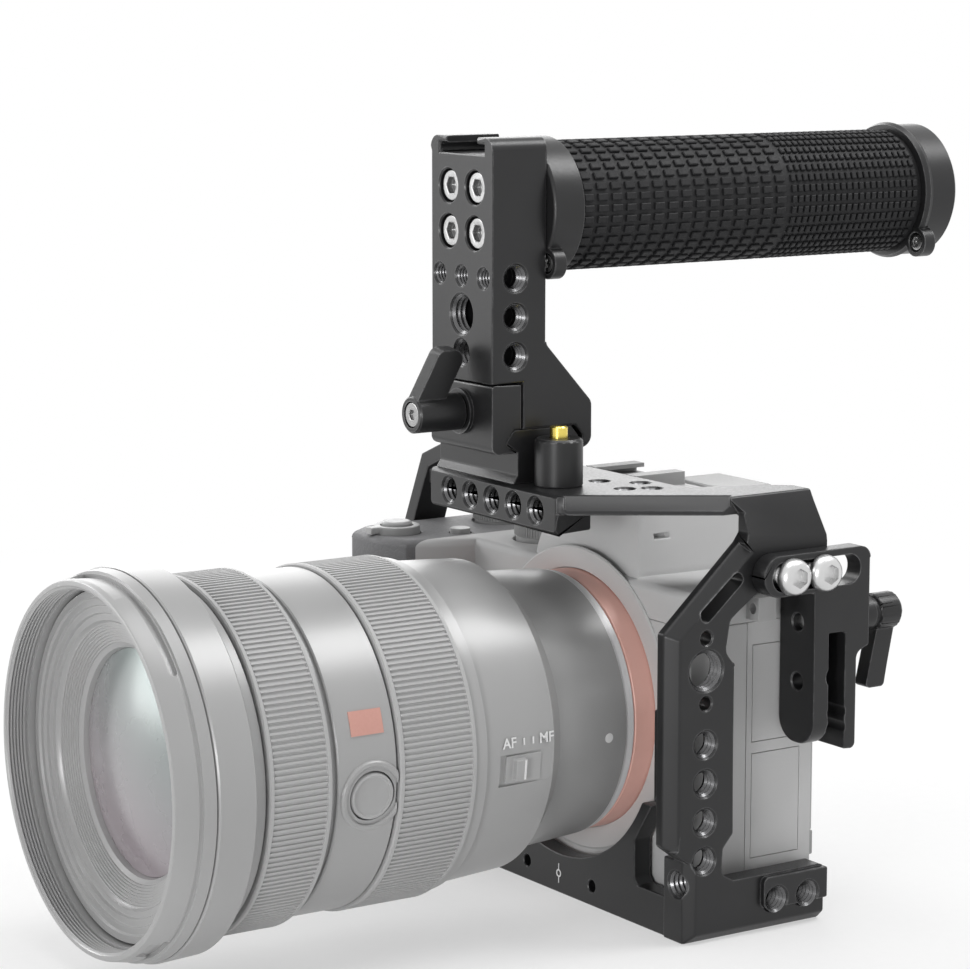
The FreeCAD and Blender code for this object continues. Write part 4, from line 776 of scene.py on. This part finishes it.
def onBarrel(piece, along, degrees, radius, lean=0.0):
    # lays a piece on the lens: its X runs along the barrel, its Y round it, its Z outwards
    turn = math.radians(degrees)
    out = Vector((math.cos(turn), 0, math.sin(turn)))
    across = Vector((-math.sin(turn), 0, math.cos(turn)))
    length = Vector((0, 1, 0))
    spot = out * radius * mm + Vector((0, along * mm, lensZ * mm))
    stand = Matrix((length, across, out)).transposed().to_4x4()
    stand.translation = spot
    piece.data.transform(stand @ Matrix.Rotation(lean, 4, "Y"))
    return piece


frontBarrel = {
    "outer": [(-117.6, 37.45), (-117.6, 39.6), (-117.9, 39.9), (-121.9, 39.9), (-121.9, 43.4),
              (-122.3, 43.85), (-131.0, 44.25), (-131.35, 43.95), (-131.4, 43.3), (-131.7, 43.3),
              (-131.8, 43.85), (-134.5, 43.5), (-134.7, 42.9), (-135.3, 42.9), (-135.5, 43.1),
              (-140.3, 42.15), (-140.7, 41.9), (-140.8, 41.5), (-140.8, 40.9)],
    "threads": 6, "threadFront": -140.6, "threadPitch": 0.8, "root": 40.8, "crest": 40.25,
    "crestSteps": (0.35, 0.5),
    "inner": [(-135.4, 40.6), (-135.4, 39.8), (-126, 39.8), (-126, 34), (-120, 34),
              (-120, 37.45)],
    "grooves": {"upper": (40, 104), "lower": (-118, -50)}, "grooveMiddle": -135.9,
    "grooveHalf": 0.95, "grooveFloor": 42.0, "grooveTop": 45.5, "stopDepth": 4,
    "entries": {"upper": (72, 103.2), "lower": (-62, -50.8)}, "entryFront": -139.4,
    "entryLap": 0.3, "entryFloor": 0.1, "entryTop": 0.4,  # kept off the groove's own faces
}


def addFrontBarrel():
    shape = frontBarrel
    rows = list(shape["outer"])
    for turn in range(shape["threads"]):
        place = shape["threadFront"] + turn * shape["threadPitch"]
        rows.append((place, shape["root"]))
        rows += [(place + step, shape["crest"]) for step in shape["crestSteps"]]
    barrel = lensTurning("frontBarrel", rows + shape["inner"], 128)
    middle, half, stopDepth = shape["grooveMiddle"], shape["grooveHalf"], shape["stopDepth"]
    near, far = middle - half, middle + half
    low, high = shape["grooveFloor"], shape["grooveTop"]
    front, back = shape["entryFront"], far - shape["entryLap"]
    floor, roof = low + shape["entryFloor"], high + shape["entryTop"]
    cutters = []
    for name, (start, end) in shape["grooves"].items():
        channel = [(near, low), (near, high), (far, high), (far, low)]
        cutters.append(lensArc(name + "Channel", channel, start, end, 24))
        stop = start if name == "upper" else end
        deselect()
        bpy.ops.mesh.primitive_cylinder_add(vertices=20, radius=half * mm, depth=stopDepth * mm)
        stopper = bpy.context.active_object
        cutters.append(onBarrel(stopper, middle, stop, low + stopDepth / 2))
        first, last = shape["entries"][name]
        entry = [(front, floor), (front, roof), (back, roof), (back, floor)]
        cutters.append(lensArc(name + "Entry", entry, first, last, 12))
    cutWith(barrel, cutters)
    finish(barrel, looks["lens_grey"], nodeBody["lens_front_barrel"], 32,
           ["lens_front_barrel"])


frontGroup = {
    "outer": [(-129.6, 39.5), (-133.4, 39.5), (-133.9, 39.2), (-133.9, 37.6), (-133.4, 37.3),
              (-133.4, 35.9), (-132.8, 35.6), (-132.8, 34.1), (-132.1, 33.8), (-132.1, 32.4),
              (-131.4, 32.0)],
    "ridges": 8, "ridgeFront": -131.0, "ridgeRadius": 31.7, "ridgeStep": 0.62, "ridgeBack": 0.28,
    "ridge": [(-0.12, 0), (-0.12, -0.2), (0.2, -0.3)],
    "inner": [(-128.5, 26.5), (-128.2, 26.0), (-126.4, 25.5), (-112, 25.5), (-112, 33.6),
              (-129.6, 33.6)],
    "domeEdge": -127.0, "domeRise": 4.3, "domeRadius": 25.6, "domeRows": 14, "back": -113.0,
}


def addFrontGroup():
    shape = frontGroup
    rows = list(shape["outer"])
    for ridge in range(shape["ridges"]):
        radius = shape["ridgeRadius"] - ridge * shape["ridgeStep"]
        place = shape["ridgeFront"] + ridge * shape["ridgeBack"]
        rows += [(place + along, radius + lift) for along, lift in shape["ridge"]]
    group = lensTurning("frontGroup", rows + shape["inner"], 112)
    finish(group, looks["lens_grey"], nodeBody["front_lens_group"], 32,
           ["front_lens_group"])
    dome = []
    for row in range(shape["domeRows"] + 1):
        share = row / shape["domeRows"]
        place = shape["domeEdge"] - shape["domeRise"] * (1 - share * share)
        dome.append((place, max(shape["domeRadius"] * share, axisRadius)))
    dome += [(shape["back"], shape["domeRadius"]), (shape["back"], axisRadius)]
    glass = lensTurning("frontGlass", dome)
    finish(glass, looks["glass"], nodeBody["front_glass"], 40, ["front_glass"])


# radius and height pairs, turned about the button's own axis
holdButton = {
    "degrees": -6.4, "along": -90.8, "foot": 38.0, "barrel": 39.4, "ridgeEnd": -84.6,
    "cap": [(axisRadius, 1.25), (4.1, 1.25), (4.4, 1.4), (4.6, 1.75), (4.9, 1.85), (5.2, 1.65),
            (5.3, 1.3), (5.3, 0), (axisRadius, 0)],
    "ridge": [(6.6, 1.0), (6.7, 1.8), (7.0, 2.05), (7.7, 2.05), (8.0, 1.8), (8.1, 1.0)],
}
badge = {"near": -87.3, "far": -95.6, "low": 39.25, "high": 39.62, "start": 13.6, "end": 21.6,
         "soft": 0.1}


def stackTurning(name, pairs, steps=48):
    piece = tracePath(name, [(radius, 0, height) for radius, height in pairs])
    return spinRound(piece, (0, 0, 1), (0, 0, 0), steps)


def addBarrelFittings():
    shape = holdButton
    along, degrees, foot = shape["along"], shape["degrees"], shape["foot"]
    cap = onBarrel(stackTurning("holdCap", shape["cap"]), along, degrees, foot)
    finish(cap, looks["control_grey"], "hold_button", 30, ["focus_hold_button"])
    ridge = stackTurning("holdRidge", shape["ridge"], 72)
    for vertex in ridge.data.vertices:
        # the ridge follows the barrel's curve
        side = vertex.co.y / mm
        vertex.co.z += (math.sqrt(shape["barrel"] ** 2 - side ** 2) - shape["barrel"]) * mm
    activate(ridge)
    selectAll()
    bpy.ops.mesh.bisect(plane_co=((shape["ridgeEnd"] - along) * mm, 0, 0), plane_no=(1, 0, 0),
                        use_fill=True, clear_outer=True)
    bpy.ops.object.mode_set(mode="OBJECT")
    onBarrel(ridge, along, degrees, foot)
    finish(ridge, looks["lens_grey"], nodeBody["lens_middle_barrel"], 30)
    near, far, low, high = badge["near"], badge["far"], badge["low"], badge["high"]
    soft = badge["soft"]
    outline = [(far, low), (far, high - soft), (far + soft, high), (near - soft, high),
               (near, high - soft), (near, low)]
    plate = lensArc("badgePlate", outline, badge["start"], badge["end"], 10)
    finish(plate, badgeSalmon, nodeBody["lens_middle_barrel"])


buttonScrews = {
    "spots": [(57.7, 10.5, 84.8), (57.7, 19.65, 84.8)], "key": 2.4, "keyDepth": 1.9,
    "height": 3.15,
    "head": [(axisRadius, 3.15), (2.2, 3.15), (3.1, 2.95), (3.8, 2.45), (4.2, 1.7), (4.35, 0.9),
             (4.35, 0.25), (4.1, 0), (3.1, 0)],
    "turns": 8, "pitch": 0.85, "root": 2.75, "crest": 3.1,
    "thread": [("root", 0.2), ("crest", 0.5), ("crest", 0.65)],
    "end": [(2.4, -8.2), (axisRadius, -8.2)],
}


def addButtonScrews():
    shape = buttonScrews
    pairs = list(shape["head"])
    for turn in range(shape["turns"]):
        place = -turn * shape["pitch"]
        pairs += [(shape[part], place - step) for part, step in shape["thread"]]
    screw = stackTurning("buttonScrew", pairs + shape["end"], 40)
    deselect()
    bpy.ops.mesh.primitive_cylinder_add(vertices=6, radius=shape["key"] * mm,
                                        depth=2 * shape["keyDepth"] * mm,
                                        location=(0, 0, shape["height"] * mm))
    cutWith(screw, [bpy.context.active_object])
    copies = [placedCopy(screw, spot, (1, 0, 0)) for spot in shape["spots"]]
    remove(screw)
    whole = joinAll("bracketScrews", copies)
    finish(whole, bracketSteel, nodeBody["cable_bracket_screws"], 30,
           ["cable_bracket_screws"])


knurledDials = {
    "modeDial": {"node": "mode_dial", "spot": (-36, 8), "low": 76.9, "skirt": 81.2, "top": 88.5,
                 "radius": 9.0, "ribs": 72, "words": ("P", "A", "S", "M", "1", "2", "3", "4")},
    "exposureDial": {"node": "exposure_dial", "spot": (-66, 14), "low": 76.9, "skirt": 80.6,
                     "top": 85.5, "radius": 8.0, "ribs": 64,
                     "words": ("3", "2", "1", "0", "1", "2", "3")},
}
# what the dials share; crown holds (inwards from the radius, up from the top) pairs
dialShape = {
    "skirtIn": 0.5, "knurlIn": 0.35, "knurlRise": 0.2, "steps": 64,
    "crown": [(0.35, -0.9), (0.7, -0.35), (1.4, 0), (2.2, 0), (2.5, -0.25)], "sunk": 0.25,
    "ribDeep": 0.7, "ribWide": 0.42, "ribFoot": 0.3, "ribHead": 1.0, "taperIn": 0.3, "taper": 0.4,
    "wordSize": 2.3, "wordIn": 4.2, "wordSunk": 0.22,
}
lettering = {"thick": 0.05, "bold": 0.05, "curve": 3}


def flatText(name, words, size):
    # raised lettering as a mesh, centred on its own origin
    deselect()
    bpy.ops.object.text_add()
    note = bpy.context.active_object
    note.data.body = words
    note.data.size = size * mm
    note.data.extrude = lettering["thick"] * mm
    note.data.offset = lettering["bold"] * mm
    note.data.align_x = "CENTER"
    note.data.align_y = "CENTER"
    note.data.resolution_u = lettering["curve"]
    bpy.ops.object.convert(target="MESH")
    note = bpy.context.active_object
    note.name = name
    activate(note)
    closeUp(mergeGaps["lettering"])
    return note


def addDial(name, dial):
    shape = dialShape
    x, y = dial["spot"]
    low, skirt, top, radius = dial["low"], dial["skirt"], dial["top"], dial["radius"]
    foot, knurl = radius - shape["skirtIn"], radius - shape["knurlIn"]
    rows = [(axisRadius, low), (foot, low), (foot, skirt), (knurl, skirt + shape["knurlRise"])]
    rows += [(radius - inwards, top + rise) for inwards, rise in shape["crown"]]
    rows.append((axisRadius, top - shape["sunk"]))
    body = tracePath(name, [(x + side, y, height) for side, height in rows])
    spinRound(body, (0, 0, 1), (x, y, 0), shape["steps"])
    tall = top - shape["ribHead"] - skirt - shape["ribFoot"]
    centre = (x + knurl, y, skirt + shape["ribFoot"] + tall / 2)
    rib = addBox("rib", centre, (shape["ribDeep"], shape["ribWide"], tall))
    for vertex in rib.data.vertices:
        if vertex.co.x > (x + radius - shape["taperIn"]) * mm:
            vertex.co.y = y * mm + (vertex.co.y - y * mm) * shape["taper"]
    spinRound(rib, (0, 0, 1), (x, y, 0), dial["ribs"], True)
    whole = joinAll(name, [body, rib])
    node = dial["node"]
    finish(whole, looks["control_grey"], nodeBody[node], 30, [node])
    words = []
    reach = radius - shape["wordIn"]
    for step, word in enumerate(dial["words"]):
        turn = math.tau * step / len(dial["words"])
        note = flatText("dialWord", word, shape["wordSize"])
        spot = (x + reach * math.cos(turn), y + reach * math.sin(turn), top - shape["wordSunk"])
        stand = Matrix.Translation([value * mm for value in spot])
        note.data.transform(stand @ Matrix.Rotation(turn - math.pi / 2, 4, "Z"))
        words.append(note)
    finish(joinAll(name + "Words", words), markWhite, nodeBody[node])


screenPane = {"near": -31.0, "far": 37.6, "low": 15.4, "high": 60.6, "face": 32.8, "deep": 0.5,
              "round": 0.6, "glassThick": 0.3, "glassGap": 0.3, "glassRound": 0.08}


def addScreen():
    # the back of the panel gets a sunk pane with a dark glass in it
    shape = screenPane
    panel = freeCopy(nodes["display_panel"], "displayPanel")
    roundEdges(panel, shape["round"] * mm, 3)
    x, z = (shape["near"] + shape["far"]) / 2, (shape["low"] + shape["high"]) / 2
    wide, tall = shape["far"] - shape["near"], shape["high"] - shape["low"]
    cutWith(panel, [addBox("paneCutter", (x, shape["face"], z), (wide, shape["deep"] * 2, tall))])
    gap = shape["glassGap"]
    glass = addBox("screenGlass", (x, shape["face"] - shape["deep"], z),
                   (wide - gap, shape["glassThick"], tall - gap))
    roundEdges(glass, shape["glassRound"] * mm)
    finish(glass, looks["screen_black"], "screen")
    finish(panel, looks["control_grey"], "screen", 34, ["display_panel"])


# a mark on the lens has its place along the barrel, its angle round it and its radius
marks = {
    "discThick": 0.05, "barThick": 0.06, "lift": 0.02, "lean": 0.06, "tickLean": 0.02,
    "dot": (-22.5, -3.2, 32.53), "dotRadius": 1.15,
    "ticks": (-49.8, -47.3), "tickLine": (3.2, 37.78), "tickSize": (0.4, 1.6),
    "words": {"AF": (-53.9, 38.02), "MF": (-43.4, 37.36)}, "wordSize": 3.35,
    "pointer": (-50.0, -6.3, 38.85), "pointerSize": (0.55, 4.6),
    "level": {"radius": 1.0, "inner": 0.62, "bar": (0.3, 1.5), "reach": 1.7,
              "spot": (0, -13.92, 4.9)},
}


def markDisc(name, radius, inner=axisRadius):
    high = marks["discThick"]
    return stackTurning(name, [(inner, 0), (radius, 0), (radius, high), (inner, high)], 32)


def markBar(name, wide, tall):
    return addBox(name, (0, 0, 0), (wide, tall, marks["barThick"]))


def addMarks():
    lean, lift = marks["lean"], marks["lift"] * mm
    dot = onBarrel(markDisc("mountDot", marks["dotRadius"]), *marks["dot"], lean)
    finish(dot, markWhite, "rig")
    degrees, radius = marks["tickLine"]
    ticks = []
    for along in marks["ticks"]:
        tick = markBar("tick", *marks["tickSize"])
        ticks.append(onBarrel(tick, along, degrees, radius, marks["tickLean"]))
    for word, (along, reach) in marks["words"].items():
        note = flatText("word" + word, word, marks["wordSize"])
        note.data.transform(Matrix.Translation((0, 0, lift)))
        ticks.append(onBarrel(note, along, degrees, reach, lean))
    finish(joinAll("switchMarks", ticks), markWhite, "rig")
    pointer = onBarrel(markBar("pointer", *marks["pointerSize"]), *marks["pointer"])
    finish(pointer, markWhite, "mode_switch")
    shape = marks["level"]
    parts = [markDisc("levelRing", shape["radius"], shape["inner"])]
    for reach in (shape["reach"], -shape["reach"]):
        bar = markBar("levelBar", *shape["bar"])
        bar.data.transform(Matrix.Translation((0, reach * mm, lift)))
        parts.append(bar)
    level = joinAll("levelMark", parts)
    stand = Matrix.Translation([value * mm for value in shape["spot"]])
    level.data.transform(stand @ Matrix.Rotation(math.pi / 2, 4, "X"))
    finish(level, markWhite, "rig")


for name, width in softWidths.items():
    softCopy(name, width * mm)
print("edges rounded")
addThreads()
print("threads cut")
addSleeve()
print("sleeve moulded")
for name, ring in ribbedRings.items():
    addRibbedRing(name, ring)
print("lens rings ribbed")
addFrontBarrel()
addFrontGroup()
print("front of the lens turned")
addBarrelFittings()
addButtonScrews()
print("button, badge and bracket screws made")
for name, dial in knurledDials.items():
    addDial(name, dial)
addScreen()
print("dials and screen made")
addMarks()
print("marks painted")
